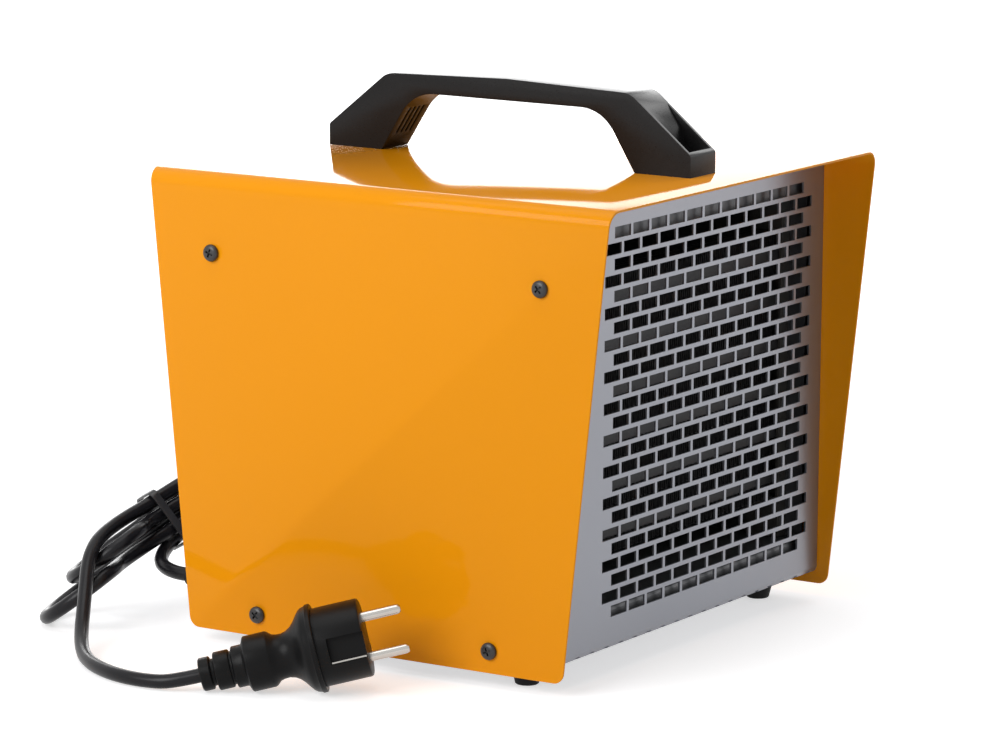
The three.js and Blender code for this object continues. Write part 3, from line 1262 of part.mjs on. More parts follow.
/** The tie's outline across the bundle, grown by a margin. */
function bundleOutline(margin) {
  const reach = CORD_RADIUS + CLEARANCE + margin;
  const half = HANK_WAIST_HALF + TIE_SLACK + reach;
  const top = (HANK_REACH.length + 0.8) * HANK_LAYER + reach;
  return rounded([[-half, -reach], [half, -reach], [half, top], [-half, top]], Array(4).fill(3 + margin));
}
const band = cut(
  prismZ(bundleOutline(TIE_THICKNESS), [-TIE_WIDTH / 2, TIE_WIDTH / 2]),
  prismZ(bundleOutline(0), [-TIE_WIDTH, TIE_WIDTH]),
);
const tiePlace = new THREE.Matrix4()
  .makeBasis(hankAcross, hankUp, vector().crossVectors(hankAcross, hankUp))
  .setPosition(inHank([HANK_WAIST, 0, 0]));
part('cord_tie', 'blackSteel', band.applyMatrix4(tiePlace));

// ---- plug, lying on the floor on its flange and its tail

const plugSide = vector().crossVectors(plugAlong, vector(0, 0, 1)).normalize();
const plugUp = vector().crossVectors(plugSide, plugAlong);
const plugPlace = new THREE.Matrix4()
  .makeBasis(plugUp, plugSide, plugAlong)
  .multiply(new THREE.Matrix4().makeRotationZ(radians(PLUG_ROLL)))
  .setPosition(plugTail);

const plugShell = turned('z', [
  [0, 0],
  [8, 0],
  [8, 5.4],
  [6.5, 5.8],
  [6.5, 7.2],
  [9.2, 7.5],
  [9.2, 14.8],
  [8, 15.2],
  [8, 16],
  [10, 16.4],
  [10, 21.6],
  [13.4, 22.8],
  [13.4, 34.5],
  [11, 37],
  [10.6, 41],
  [13, 46],
  [17.5, 49.5],
  [PLUG_FLANGE_RADIUS - 1.3, PLUG_FLANGE_AT],
  [PLUG_FLANGE_RADIUS, PLUG_FLANGE_AT + 3],
  [PLUG_FLANGE_RADIUS, PLUG_FLANGE_AT + PLUG_FLANGE_THICKNESS],
  [PLUG_BODY_RADIUS, PLUG_FLANGE_AT + PLUG_FLANGE_THICKNESS],
  [PLUG_BODY_RADIUS, PLUG_LENGTH - 1.5],
  [PLUG_BODY_RADIUS - 1.5, PLUG_LENGTH],
  [0, PLUG_LENGTH],
], 16);
const pinRoot = PLUG_LENGTH - PIN_SEAT;
const plugPins = SIDES.map((side) => turned('z', [
  [0, pinRoot + CLEARANCE],
  [PIN_RADIUS, pinRoot + CLEARANCE],
  [PIN_RADIUS, PLUG_LENGTH + PIN_LENGTH - 1.5],
  [PIN_RADIUS - 1, PLUG_LENGTH + PIN_LENGTH],
  [0, PLUG_LENGTH + PIN_LENGTH],
], 12).translate((side * PIN_SPACING) / 2, 0, 0));
const pinBores = SIDES.map((side) =>
  rod('z', PIN_RADIUS + CLEARANCE, [pinRoot, PLUG_LENGTH + 1], [(side * PIN_SPACING) / 2, 0, 0], 12));

/** A block on one side of the plug and, turned half round, on the other. */
const besidePlug = (side, x, y, z) => block(
  x.map((v) => side * v).sort((a, b) => a - b),
  y.map((v) => side * v).sort((a, b) => a - b),
  z,
);
const notchFloor = PLUG_BODY_RADIUS - NOTCH_DEPTH;
const stripLow = PLUG_LENGTH - STRIP_LENGTH;
const grooves = SIDES.map((side) => besidePlug(
  side,
  [-NOTCH_LEDGE, NOTCH_WIDTH - NOTCH_LEDGE],
  [notchFloor, PLUG_BODY_RADIUS + 2],
  [stripLow - CLEARANCE, PLUG_LENGTH + 1],
));
const strips = SIDES.map((side) => besidePlug(
  side,
  [CLEARANCE - NOTCH_LEDGE, CLEARANCE - NOTCH_LEDGE + STRIP_THICKNESS],
  [notchFloor + CLEARANCE, notchFloor + CLEARANCE + STRIP_WIDTH],
  [stripLow, PLUG_LENGTH - CLEARANCE],
));
part('plug_body', 'blackPlastic', cut(plugShell, ...pinBores, ...grooves).applyMatrix4(plugPlace));
['lower', 'upper'].forEach((name, i) => {
  part(`plug_pin_${name}`, 'nickel', plugPins[i].applyMatrix4(plugPlace));
});
['left', 'right'].forEach((name, i) => {
  part(`plug_earth_strip_${name}`, 'nickel', strips[i].applyMatrix4(plugPlace));
});

export default model;
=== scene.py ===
# %% [markdown]
# # A portable forced air heater
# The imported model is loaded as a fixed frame: its pieces are in metres and stay where they are.
# New pieces go in the same frame, replace the plain ones, and ride on the same bodies.

# %% Load the frame
import math

import bpy
from mathutils import Matrix, Vector


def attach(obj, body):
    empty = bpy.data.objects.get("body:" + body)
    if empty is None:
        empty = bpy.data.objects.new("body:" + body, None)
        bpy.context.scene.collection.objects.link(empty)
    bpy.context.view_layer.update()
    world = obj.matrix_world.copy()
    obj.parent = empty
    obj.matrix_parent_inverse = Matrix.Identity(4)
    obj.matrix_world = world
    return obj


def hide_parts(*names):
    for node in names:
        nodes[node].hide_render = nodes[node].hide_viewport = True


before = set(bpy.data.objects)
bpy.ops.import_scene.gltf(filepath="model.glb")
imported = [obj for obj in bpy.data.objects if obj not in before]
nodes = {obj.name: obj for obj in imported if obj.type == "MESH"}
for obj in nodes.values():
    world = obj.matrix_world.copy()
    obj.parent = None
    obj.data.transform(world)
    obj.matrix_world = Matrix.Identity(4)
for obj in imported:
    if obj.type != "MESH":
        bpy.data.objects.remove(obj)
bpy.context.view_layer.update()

print("pieces in the frame:", len(nodes))


def mm(*values):
    """A point or size that is given in millimetres, in metres."""
    return Vector(values) / 1000


# %% [markdown]
# ## Camera
# The view is the one the heater was seen from: a long lens, a little above the heater, turned
# towards its front left corner. Its three axes are written out, so that nothing has to be aimed.

# %% Camera
camera_right = Vector((0.5372, -0.8434, 0.0070))
camera_up = Vector((0.14866, 0.10286, 0.98353))
camera_back = Vector((-0.83025, -0.52730, 0.18064))
CAMERA_PLACE = mm(-2056.31, -1295.90, 570.56)
LENS, SENSOR = 178.73, 36

bpy.ops.object.select_all(action="DESELECT")
bpy.ops.object.camera_add(location=CAMERA_PLACE)
camera = bpy.context.object
turn = Matrix((camera_right, camera_up, camera_back)).transposed()
camera.rotation_euler = turn.to_euler()
camera.data.lens = LENS
camera.data.sensor_width = SENSOR
camera.data.clip_start = 0.1
camera.data.clip_end = 100
bpy.context.scene.camera = camera
bpy.context.scene.view_settings.view_transform = "Standard"
print("camera distance:", round(camera.location.length, 3), "m")

# %% [markdown]
# ## Light and floor
# A white studio: the world gives an even pale light, and is plain white where the camera looks at
# it or where metal and enamel mirror it. Broad lamps give the shapes their soft shading. The floor
# is pale and matt, so that it keeps the heater's shadow.

# %% World
world = bpy.data.worlds.new("studio")
bpy.context.scene.world = world
world.use_nodes = True
tree = world.node_tree
tree.nodes.clear()
STUDIO_LEVEL = 0.22


def seen_or_mirrored(tree):
    """1 where the camera, a reflection or a see-through piece looks, and 0 for the light itself."""
    path = tree.nodes.new("ShaderNodeLightPath")
    first = tree.nodes.new("ShaderNodeMath")
    first.operation = "MAXIMUM"
    tree.links.new(path.outputs["Is Camera Ray"], first.inputs[0])
    tree.links.new(path.outputs["Is Glossy Ray"], first.inputs[1])
    second = tree.nodes.new("ShaderNodeMath")
    second.operation = "MAXIMUM"
    tree.links.new(first.outputs[0], second.inputs[0])
    tree.links.new(path.outputs["Is Transmission Ray"], second.inputs[1])
    return second.outputs[0]


strength = tree.nodes.new("ShaderNodeMapRange")
strength.inputs["To Min"].default_value = STUDIO_LEVEL
strength.inputs["To Max"].default_value = 1.0
tree.links.new(seen_or_mirrored(tree), strength.inputs["Value"])
background = tree.nodes.new("ShaderNodeBackground")
background.inputs["Color"].default_value = (1, 1, 1, 1)
tree.links.new(strength.outputs["Result"], background.inputs["Strength"])
output = tree.nodes.new("ShaderNodeOutputWorld")
tree.links.new(background.outputs["Background"], output.inputs["Surface"])

# %% Lamps


def softbox(name, place, aim, size, power):
    """A square lamp at a place, turned towards a point."""
    bpy.ops.object.light_add(type="AREA", location=place)
    lamp = bpy.context.object
    lamp.name = name
    lamp.data.shape = "RECTANGLE"
    lamp.data.size, lamp.data.size_y = size
    lamp.data.energy = power
    lamp.rotation_euler = (Vector(place) - Vector(aim)).to_track_quat("Z", "Y").to_euler()
    lamp.visible_camera = False
    return lamp


middle = (0, 0, 0.13)
softbox("key_lamp", (-2.2, 0.5, 1.35), middle, (1.6, 1.4), 41.5)
softbox("front_lamp", (1.7, -1.9, 0.9), middle, (1.2, 1.2), 9)
softbox("side_lamp", (2.1, -0.2, 1.6), middle, (1.3, 1.1), 14)
softbox("top_lamp", (-0.3, 0.2, 2.4), middle, (1.6, 1.6), 13)
softbox("rear_lamp", (3.2, 2.0, 1.0), middle, (3.0, 1.6), 60)

# %% Floor
bpy.ops.mesh.primitive_plane_add(size=12)
floor = bpy.context.object
floor.name = "floor"
FLOOR_COLOUR = (0.72, 0.72, 0.73, 1)
LIFT_NEAR, LIFT_FAR = 0.58, 1.0
NEAR, FAR = 0.6, 2.2
paper = bpy.data.materials.new("studio_floor")
paper.use_nodes = True
tree = paper.node_tree
tree.nodes.clear()
matt = tree.nodes.new("ShaderNodeBsdfDiffuse")
matt.inputs["Color"].default_value = FLOOR_COLOUR
# What the camera and mirrors see is lifted, by more the farther it lies from the heater, so that
# the floor runs into the white of the world. The lift is no light, and leaves the shadow in place.
lift = tree.nodes.new("ShaderNodeEmission")
lift.inputs["Color"].default_value = (1, 1, 1, 1)
lift_strength = tree.nodes.new("ShaderNodeMath")
lift_strength.operation = "MULTIPLY"
away = tree.nodes.new("ShaderNodeTexCoord")
distance = tree.nodes.new("ShaderNodeVectorMath")
distance.operation = "LENGTH"
tree.links.new(away.outputs["Object"], distance.inputs[0])
fade = tree.nodes.new("ShaderNodeMapRange")
fade.inputs["From Min"].default_value = NEAR
fade.inputs["From Max"].default_value = FAR
fade.inputs["To Min"].default_value = LIFT_NEAR
fade.inputs["To Max"].default_value = LIFT_FAR
tree.links.new(distance.outputs["Value"], fade.inputs["Value"])
tree.links.new(fade.outputs["Result"], lift_strength.inputs[1])
tree.links.new(seen_or_mirrored(tree), lift_strength.inputs[0])
tree.links.new(lift_strength.outputs[0], lift.inputs["Strength"])
both = tree.nodes.new("ShaderNodeAddShader")
tree.links.new(matt.outputs[0], both.inputs[0])
tree.links.new(lift.outputs[0], both.inputs[1])
output = tree.nodes.new("ShaderNodeOutputMaterial")
tree.links.new(both.outputs[0], output.inputs["Surface"])
floor.data.materials.append(paper)

# %% [markdown]
# ## Finishes
# Every finish is procedural. One recipe serves them all: a colour that drifts a little from place
# to place, a gloss that varies, and a fine bump at the size of the real surface, such as orange
# peel on enamel or the grain of moulded plastic. All of it reads Object coordinates.

# %% A recipe for a finish
BUMP_HEIGHT = 0.0002


def finish(name, colour, second, gloss, drift, grain, bump, metallic=0.0):
    """A material: two close colours, a range of roughness, and a bump of that grain."""
    made = bpy.data.materials.new(name)
    made.use_nodes = True
    tree = made.node_tree
    shader = tree.nodes["Principled BSDF"]
    place = tree.nodes.new("ShaderNodeTexCoord").outputs["Object"]

    cloud = tree.nodes.new("ShaderNodeTexNoise")
    cloud.inputs["Scale"].default_value = drift
    cloud.inputs["Detail"].default_value = 4
    tree.links.new(place, cloud.inputs["Vector"])
    tint = tree.nodes.new("ShaderNodeMix")
    tint.data_type = "RGBA"
    tint.inputs[6].default_value = (*colour, 1)
    tint.inputs[7].default_value = (*second, 1)
    tree.links.new(cloud.outputs["Fac"], tint.inputs[0])
    tree.links.new(tint.outputs[2], shader.inputs["Base Color"])

    fine = tree.nodes.new("ShaderNodeTexNoise")
    fine.inputs["Scale"].default_value = grain
    fine.inputs["Detail"].default_value = 2
    tree.links.new(place, fine.inputs["Vector"])
    polish = tree.nodes.new("ShaderNodeMapRange")
    polish.inputs["To Min"].default_value = gloss[0]
    polish.inputs["To Max"].default_value = gloss[1]
    tree.links.new(fine.outputs["Fac"], polish.inputs["Value"])
    tree.links.new(polish.outputs["Result"], shader.inputs["Roughness"])
    relief = tree.nodes.new("ShaderNodeBump")
    relief.inputs["Strength"].default_value = bump
    relief.inputs["Distance"].default_value = BUMP_HEIGHT
    tree.links.new(fine.outputs["Fac"], relief.inputs["Height"])
    tree.links.new(relief.outputs["Normal"], shader.inputs["Normal"])
    shader.inputs["Metallic"].default_value = metallic
    return made


def tune(made, **sockets):
    """Sets plain values on the shader, such as Coat_Weight=1."""
    shader = made.node_tree.nodes["Principled BSDF"]
    for name, value in sockets.items():
        shader.inputs[name.replace("_", " ")].default_value = value
    return made


# %% Paints and plastics
orange_paint = tune(
    finish(
        "orange_enamel", (0.90, 0.325, 0.004), (0.94, 0.345, 0.005), (0.05, 0.09),
        drift=6, grain=420, bump=0.012,
    ),
    Specular_IOR_Level=0.09,
)
grey_paint = finish(
    "silver_grey_paint", (0.27, 0.28, 0.315), (0.30, 0.31, 0.345), (0.26, 0.34),
    drift=9, grain=1500, bump=0.05, metallic=0.6,
)
black_plastic = tune(
    finish(
        "black_moulded_plastic", (0.0045, 0.0042, 0.0044), (0.0065, 0.006, 0.0063), (0.24, 0.34),
        drift=40, grain=1400, bump=0.2,
    ),
    Specular_IOR_Level=0.2,
)
plug_rubber = tune(
    finish(
        "plug_moulding_black", (0.0045, 0.0045, 0.0046), (0.0065, 0.0065, 0.0068), (0.30, 0.40),
        drift=40, grain=1500, bump=0.15,
    ),
    Specular_IOR_Level=0.12,
)
brown_plastic = finish(
    "brown_phenolic", (0.085, 0.034, 0.016), (0.12, 0.052, 0.026), (0.32, 0.48),
    drift=130, grain=1800, bump=0.15,
)
# The ceramic inside the heater is near black: painted shade, so that the parts behind the slots read
# dark.
white_ceramic = finish(
    "white_ceramic", (0.06, 0.056, 0.05), (0.08, 0.075, 0.068), (0.38, 0.55),
    drift=60, grain=1300, bump=0.12,
)
rubber = tune(
    finish(
        "black_rubber", (0.008, 0.008, 0.0085), (0.012, 0.012, 0.0125), (0.50, 0.70),
        drift=50, grain=1100, bump=0.25,
    ),
    Specular_IOR_Level=0.2,
)
cord_sheath = tune(
    finish(
        "cord_sheath", (0.0065, 0.0062, 0.0078), (0.0095, 0.009, 0.011), (0.24, 0.36),
        drift=70, grain=1700, bump=0.12,
    ),
    Specular_IOR_Level=0.22,
)
wire = finish(
    "wire_sleeve", (0.50, 0.45, 0.36), (0.62, 0.57, 0.47), (0.50, 0.70),
    drift=200, grain=2200, bump=0.4,
)

# %% Metals
# The galvanised sheet is far darker than bare zinc: painted shade, so that the duct behind the slots
# reads dark.
galvanised = finish(
    "galvanised_sheet_painted_shade", (0.085, 0.087, 0.092), (0.12, 0.122, 0.128), (0.42, 0.58),
    drift=90, grain=300, bump=0.06, metallic=0.7,
)
steel = finish(
    "bright_steel", (0.42, 0.42, 0.43), (0.50, 0.50, 0.51), (0.22, 0.38),
    drift=60, grain=1600, bump=0.08, metallic=1,
)
# The element aluminium is far darker than bare metal: painted shade, so that the bars behind the slots
# read dark.
aluminium = finish(
    "element_aluminium_painted_shade", (0.034, 0.034, 0.036), (0.05, 0.05, 0.052), (0.42, 0.56),
    drift=80, grain=1200, bump=0.1, metallic=0.7,
)
copper = finish(
    "copper", (0.78, 0.36, 0.20), (0.88, 0.46, 0.28), (0.24, 0.42),
    drift=70, grain=1500, bump=0.08, metallic=1,
)
nickel = finish(
    "nickel_plate", (0.46, 0.44, 0.41), (0.53, 0.51, 0.48), (0.12, 0.22),
    drift=50, grain=1800, bump=0.03, metallic=1,
)
black_steel = finish(
    "blackened_steel", (0.016, 0.016, 0.018), (0.026, 0.026, 0.028), (0.26, 0.40),
    drift=90, grain=1500, bump=0.1,
)

finishes = {
    "orange_paint": orange_paint, "grey_paint": grey_paint, "galvanised": galvanised, "steel": steel,
    "aluminium": aluminium, "copper": copper, "nickel": nickel, "black_steel": black_steel,
    "black_plastic": black_plastic, "brown_plastic": brown_plastic, "white_ceramic": white_ceramic,
    "rubber": rubber, "cord_sheath": cord_sheath, "wire": wire,
}

# %% Paint the pieces that stay
painted = 0
for name, piece in nodes.items():
    for socket in piece.material_slots:
        slot_name = socket.material.name.split(".")[0] if socket.material else ""
        if slot_name in finishes:
            socket.material = finishes[slot_name]
            painted += 1
        else:
            print("no finish for", name, slot_name)
print("painted:", painted)

# %% [markdown]
# ## The cord
# One round mains lead leaves the strain relief, is wound into a hank that a tie holds at its waist,
# and runs on along the floor to the plug. It is one smooth line with a round section. The hank's
# line is worked out from its own directions: along the runs, across them, and from loop to loop.
# Every bend is about three cord diameters or wider, because a real lead springs open that far.

# %% Directions of the hank
CORD_RADIUS = 3.5
HANK_CORNER = Vector((-129, 168.5, 10.4))
hank_along = Vector((0.82970, -0.30199, 0.46947))
hank_across = Vector((-0.49641, -0.78379, 0.37315))
hank_up = Vector((-0.25529, 0.54266, 0.80022))
FOLD = 21.8  # radius of the folds at both ends
LAYER = 7.8  # from one loop up to the next
RUN = 144  # from the lowest fold to the high ones
WAIST, WAIST_HALF = 58, 5  # where the tie sits, and half the width there
RUN_START, RUN_END = 70, 56  # where the cord comes in and where it leaves
REACH = (0, 24)  # where the low folds begin
TURN = math.sqrt((2 * FOLD) ** 2 - (WAIST_HALF + FOLD) ** 2)


def in_hank(s, t, h):
    """A point in millimetres, from its distances along the runs, across them and up the layers."""
    return HANK_CORNER + hank_along * s + hank_across * t + hank_up * h


def half_width(s, low):
    """Half the width of a loop: a bend out of the low fold, one back, and a soft swell above."""
    if s >= WAIST:
        share = min(1, (s - WAIST) / (RUN - WAIST))
        return WAIST_HALF + (FOLD - WAIST_HALF) * (0.5 - 0.5 * math.cos(math.pi * share))
    past = s - low
    if past <= TURN / 2:
        return math.sqrt(FOLD**2 - past**2)
    if past >= TURN:
        return WAIST_HALF
    return WAIST_HALF + FOLD - math.sqrt(FOLD**2 - (TURN - past) ** 2)


# %% Line of the hank
def stations(low):
    """Places along a run, from its low fold up to the high one."""
    turn = [low + TURN * i / 9 for i in range(1, 10)]
    straight = [low + TURN + 6 * i for i in range(1, 9)]
    swell = [WAIST + (RUN - WAIST) * i / 12 for i in range(12)]
    return [s for s in turn + straight if s < WAIST - 4] + swell


def arc(middle, sign, h):
    """A fold: half a circle from one run to the other, in small steps."""
    angles = [math.pi * i / 14 for i in range(15)]
    ahead, aside = [FOLD * math.sin(a) for a in angles], [-FOLD * math.cos(a) for a in angles]
    return [in_hank(middle + sign * s, sign * t, h) for s, t in zip(ahead, aside)]


hank = [in_hank(RUN_START, -half_width(RUN_START, 0), 0)]
for loop, low in enumerate((None, *REACH)):
    h = loop * LAYER
    if low is not None:
        hank += arc(low, -1, h)
    upwards = [s for s in stations(low or 0) if loop or s > RUN_START + 5]
    hank += [in_hank(s, -half_width(s, low or 0), h) for s in upwards]
    hank += arc(RUN, 1, h)
    last = loop == len(REACH)
    following = low if last else REACH[loop]
    down = [s for s in reversed(stations(following)) if not last or s > RUN_END + 5]
    for s in down + [RUN_END] * last:
        share = (RUN - s) / (RUN - following)
        hank.append(in_hank(s, half_width(s, following), h + LAYER * share**2 * (3 - 2 * share)))
print("points in the hank:", len(hank))

# %% The whole route
PLUG_TAIL = Vector((-210.6, 42.1, 7.9))
heading, tilt = math.radians(-57.6), math.radians(13.8)
level = math.cos(tilt)
plug_along = Vector((math.cos(heading) * level, math.sin(heading) * level, math.sin(tilt)))
hank_start = (hank[1] - hank[0]).normalized()
hank_finish = (hank[-1] - hank[-2]).normalized()
leaving = [
    (-112, 118.5, 28), (-112, 124.3, 28), (-111.1, 129.9, 28.1), (-109.1, 135.3, 28.4),
    (-106.2, 140.2, 28.8), (-102.4, 144.5, 29.5), (-98, 147.9, 30.4), (-93, 150.5, 31.7),
    (-87.8, 152.3, 33.2), (-82.5, 153.2, 35.1),
]
to_plug = [
    (-104.3, 163.5, 51.1), (-113.6, 164.7, 48.2), (-123.1, 164.6, 45.3), (-132.2, 163, 42),
    (-140.8, 159.9, 38), (-148.4, 156, 32.9), (-155.2, 151.8, 27.4), (-161.8, 147.7, 21.7),
    (-168.5, 143.5, 16.3), (-175.5, 139, 11.6), (-182.8, 133.8, 7.9), (-190.2, 127.7, 5.4),
    (-197.3, 120.8, 4.1), (-203.9, 113.2, 3.7), (-209.7, 105, 3.7), (-214.4, 96.2, 3.7),
    (-218, 86.8, 3.7), (-219.9, 77, 3.7), (-220.1, 67, 3.8), (-218.8, 57.2, 4.4),
]
route = [
    *map(Vector, leaving),
    hank[0] - hank_start * 7.5,
    *hank,
    hank[-1] + hank_finish * 5,
    *map(Vector, to_plug),
    PLUG_TAIL - plug_along * 5,
    PLUG_TAIL + plug_along * 2,
]


def smooth_line(points, step):
    """A line through the points that keeps its direction at each of them, with points a step apart."""
    line = []
    for i in range(len(points) - 1):
        before = points[i - 1] if i else points[0] * 2 - points[1]
        start, end = points[i], points[i + 1]
        after = points[i + 2] if i + 2 < len(points) else points[-1] * 2 - points[-2]
        k0 = max((start - before).length, 1e-6) ** 0.5
        k1 = max((end - start).length, 1e-6) ** 0.5
        k2 = max((after - end).length, 1e-6) ** 0.5
        leave = ((start - before) / k0 - (end - before) / (k0 + k1) + (end - start) / k1) * k1
        reach = ((end - start) / k1 - (after - start) / (k1 + k2) + (after - end) / k2) * k1
        count = max(1, round((end - start).length / step))
        for j in range(count):
            u = j / count
            line.append(
                start * (2 * u**3 - 3 * u**2 + 1) + leave * (u**3 - 2 * u**2 + u)
                + end * (3 * u**2 - 2 * u**3) + reach * (u**3 - u**2)
            )
    line.append(points[-1])
    return line


CORD_STEP = 2.5
cord_line = [p / 1000 for p in smooth_line(route, CORD_STEP)]

# %% The cord itself
curve = bpy.data.curves.new("mains_cord", "CURVE")
curve.dimensions = "3D"
spline = curve.splines.new("POLY")
spline.points.add(len(cord_line) - 1)
for point, place in zip(spline.points, cord_line):
    point.co = (*place, 1)
curve.bevel_depth = CORD_RADIUS / 1000
curve.bevel_resolution = 4
curve.use_fill_caps = True
spline.use_smooth = True
cord = bpy.data.objects.new("mains_cord", curve)
bpy.context.scene.collection.objects.link(cord)
cord.data.materials.append(cord_sheath)
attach(cord, "housing")
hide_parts("cord_exit", "cord_hank", "cord_lead")

# %% [markdown]
# ## Tools for making pieces
# Three ways of modelling serve most of the heater. A slab is an outline that is filled and pulled
# out to its thickness, as sheet and moulded bars are. A turned piece is half a section that is
# spun about its axis, as knobs, feet and the plug are. A cut takes one closed piece from another.
# Turned pieces end with their doubles merged, and turned pieces and slabs end with their normals
# pointing out.

# %% Selecting and mending
DOUBLES = 0.000002


def only(piece):
    """Selects one piece and nothing else."""
    if bpy.context.object and bpy.context.object.mode != "OBJECT":
        bpy.ops.object.mode_set(mode="OBJECT")
    bpy.ops.object.select_all(action="DESELECT")
    piece.select_set(True)
    bpy.context.view_layer.objects.active = piece


def tidy(piece):
    """Merges doubles and turns the faces outwards."""
    only(piece)
    bpy.ops.object.mode_set(mode="EDIT")
    bpy.ops.mesh.select_all(action="SELECT")
    bpy.ops.mesh.remove_doubles(threshold=DOUBLES)
    bpy.ops.mesh.normals_make_consistent(inside=False)
    bpy.ops.object.mode_set(mode="OBJECT")


def select_where(piece, kind, test):
    """Selects the faces, edges or vertices of a piece that pass a test, and ends in edit mode."""
    only(piece)
    bpy.ops.object.mode_set(mode="EDIT")
    bpy.ops.mesh.select_mode(type=kind)
    bpy.ops.mesh.select_all(action="DESELECT")
    bpy.ops.object.mode_set(mode="OBJECT")
    mesh = piece.data
    found = 0
    for item in {"FACE": mesh.polygons, "EDGE": mesh.edges, "VERT": mesh.vertices}[kind]:
        item.select = test(item)
        found += item.select
    bpy.ops.object.mode_set(mode="EDIT")
    return found


def ends(piece, edge):
    """Where an edge starts and ends."""
    return [piece.data.vertices[i].co for i in edge.vertices]


def ring(name, places, fill_type):
    """A piece with a vertex at each place, in metres, joined in a ring, and filled or left open."""
    bpy.ops.object.select_all(action="DESELECT")
    bpy.ops.mesh.primitive_circle_add(vertices=len(places), radius=0.01, fill_type=fill_type)
    piece = bpy.context.object
    piece.name = name
    for vertex, place in zip(piece.data.vertices, places):
        vertex.co = place
    return piece


def open_line(name, places):
    """A ring without its closing edge. Ends in edit mode with all of the line selected."""
    piece = ring(name, places, "NOTHING")
    select_where(piece, "EDGE", lambda e: set(e.vertices) == {0, len(places) - 1})
    bpy.ops.mesh.delete(type="EDGE")
    bpy.ops.mesh.select_all(action="SELECT")
    return piece


# %% Slabs


def rounded_outline(corners, radii, steps=8):
    """The outline through the corners, each turned by an arc of its own radius."""
    line = []
    for i, (corner, radius) in enumerate(zip(corners, radii)):
        here = Vector(corner)
        before, after = Vector(corners[i - 1]), Vector(corners[(i + 1) % len(corners)])
        if radius == 0:
            line.append(here)
            continue
        a, b = (before - here).normalized(), (after - here).normalized()
        half_angle = a.angle(b) / 2
        middle = here + (a + b).normalized() * radius / math.sin(half_angle)
        first = here + a * radius / math.tan(half_angle) - middle
        last = here + b * radius / math.tan(half_angle) - middle
        sweep = first.angle(last)
        for k in range(steps + 1):
            u = k / steps
            spoke = first * math.sin((1 - u) * sweep) + last * math.sin(u * sweep)
            line.append(middle + spoke / math.sin(sweep))
    return line


def rectangle(low, high):
    """The four corners between a low and a high one."""
    return [low, (high[0], low[1]), high, (low[0], high[1])]


def slab(name, outline, reach, place=Matrix()):
    """A closed piece in millimetres: an outline in its own XY plane, between a low and a high Z."""
    low, high = reach
    piece = ring(name, [mm(corner[0], corner[1], low) for corner in outline], "NGON")
    bpy.ops.object.mode_set(mode="EDIT")
    bpy.ops.mesh.select_all(action="SELECT")
    bpy.ops.mesh.extrude_region_move(TRANSFORM_OT_translate={"value": (0, 0, (high - low) / 1000)})
    bpy.ops.mesh.select_all(action="SELECT")
    bpy.ops.mesh.normals_make_consistent(inside=False)
    bpy.ops.object.mode_set(mode="OBJECT")
    piece.data.transform(place)
    return piece


# Outlines drawn as (y, z) and pulled out along X.
along_x = Matrix(((0, 0, 1, 0), (1, 0, 0, 0), (0, 1, 0, 0), (0, 0, 0, 1)))

# %% Turned pieces, cuts and edges


def turned(name, profile, steps=48, place=Matrix()):
    """A half section of (radius, height) in millimetres, from axis to axis, spun about Z."""
    piece = open_line(name, [mm(radius, 0, height) for radius, height in profile])
    bpy.ops.mesh.spin(steps=steps, angle=2 * math.pi, center=(0, 0, 0), axis=(0, 0, 1))
    bpy.ops.mesh.select_mode(type="VERT")
    bpy.ops.object.mode_set(mode="OBJECT")
    tidy(piece)
    piece.data.transform(place)
    return piece


def combine(piece, tool, operation):
    """Joins a closed tool to a closed piece or takes it out, and removes the tool."""
    only(piece)
    boolean = piece.modifiers.new("boolean", "BOOLEAN")
    boolean.operation = operation
    boolean.solver = "EXACT"
    boolean.object = tool
    bpy.ops.object.modifier_apply(modifier=boolean.name)
    bpy.data.objects.remove(tool)


def cut(piece, *tools):
    """Takes closed tools out of a closed piece."""
    for tool in tools:
        combine(piece, tool, "DIFFERENCE")
    return piece


def bore(radius, low, high, steps, place):
    """A round tool about Z, in millimetres, moved to its place."""
    return turned("bore", [(0, low), (radius, low), (radius, high), (0, high)], steps, place)


def shift(x, y, z):
    """A move in millimetres."""
    return Matrix.Translation(mm(x, y, z))


def soften(piece, width, segments=2, angle=35):
    """Rounds every edge that turns by more than the angle; width is in millimetres."""
    only(piece)
    rounding = piece.modifiers.new("edges", "BEVEL")
    rounding.width = width / 1000
    rounding.segments = segments
    rounding.limit_method = "ANGLE"
    rounding.angle_limit = math.radians(angle)
    bpy.ops.object.modifier_apply(modifier=rounding.name)
    return piece


def settle(piece, made, slot_name, body, *replaced, angle=32):
    """Gives a finished piece its finish, its body and the pieces that it stands for."""
    only(piece)
    piece.data.materials.clear()
    piece.data.materials.append(made)
    bpy.ops.object.shade_smooth_by_angle(angle=math.radians(angle))
    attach(piece, body)
    if replaced:
        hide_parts(*replaced)
    places = [v.co * 1000 for v in piece.data.vertices]
    low, high = ([round(end(p[i] for p in places), 1) for i in range(3)] for end in (min, max))
    print(piece.name, low, high, len(piece.data.polygons), "faces")
    return piece


def copy_of(piece, name, place):
    """A copy with its own mesh, moved there in its mesh."""
    twin = piece.copy()
    twin.data = piece.data.copy()
    twin.name = name
    bpy.context.scene.collection.objects.link(twin)
    twin.data.transform(place)
    return twin


def join(pieces):
    """Joins pieces into the first of them."""
    only(pieces[0])
    for piece in pieces:
        piece.select_set(True)
    bpy.ops.object.join()


# %% [markdown]
# ## Cover
# The cover is one painted steel sheet, folded over both sides and the top. Its sides are deeper at
# the top than at the bottom, so they overhang the front and the rear. A box loses the faces that
# the sheet leaves open, its lower edges are drawn in, the two folds are bevelled round, and then
# the shell gets the sheet's thickness. Bevels come before the thickness, so both faces follow.

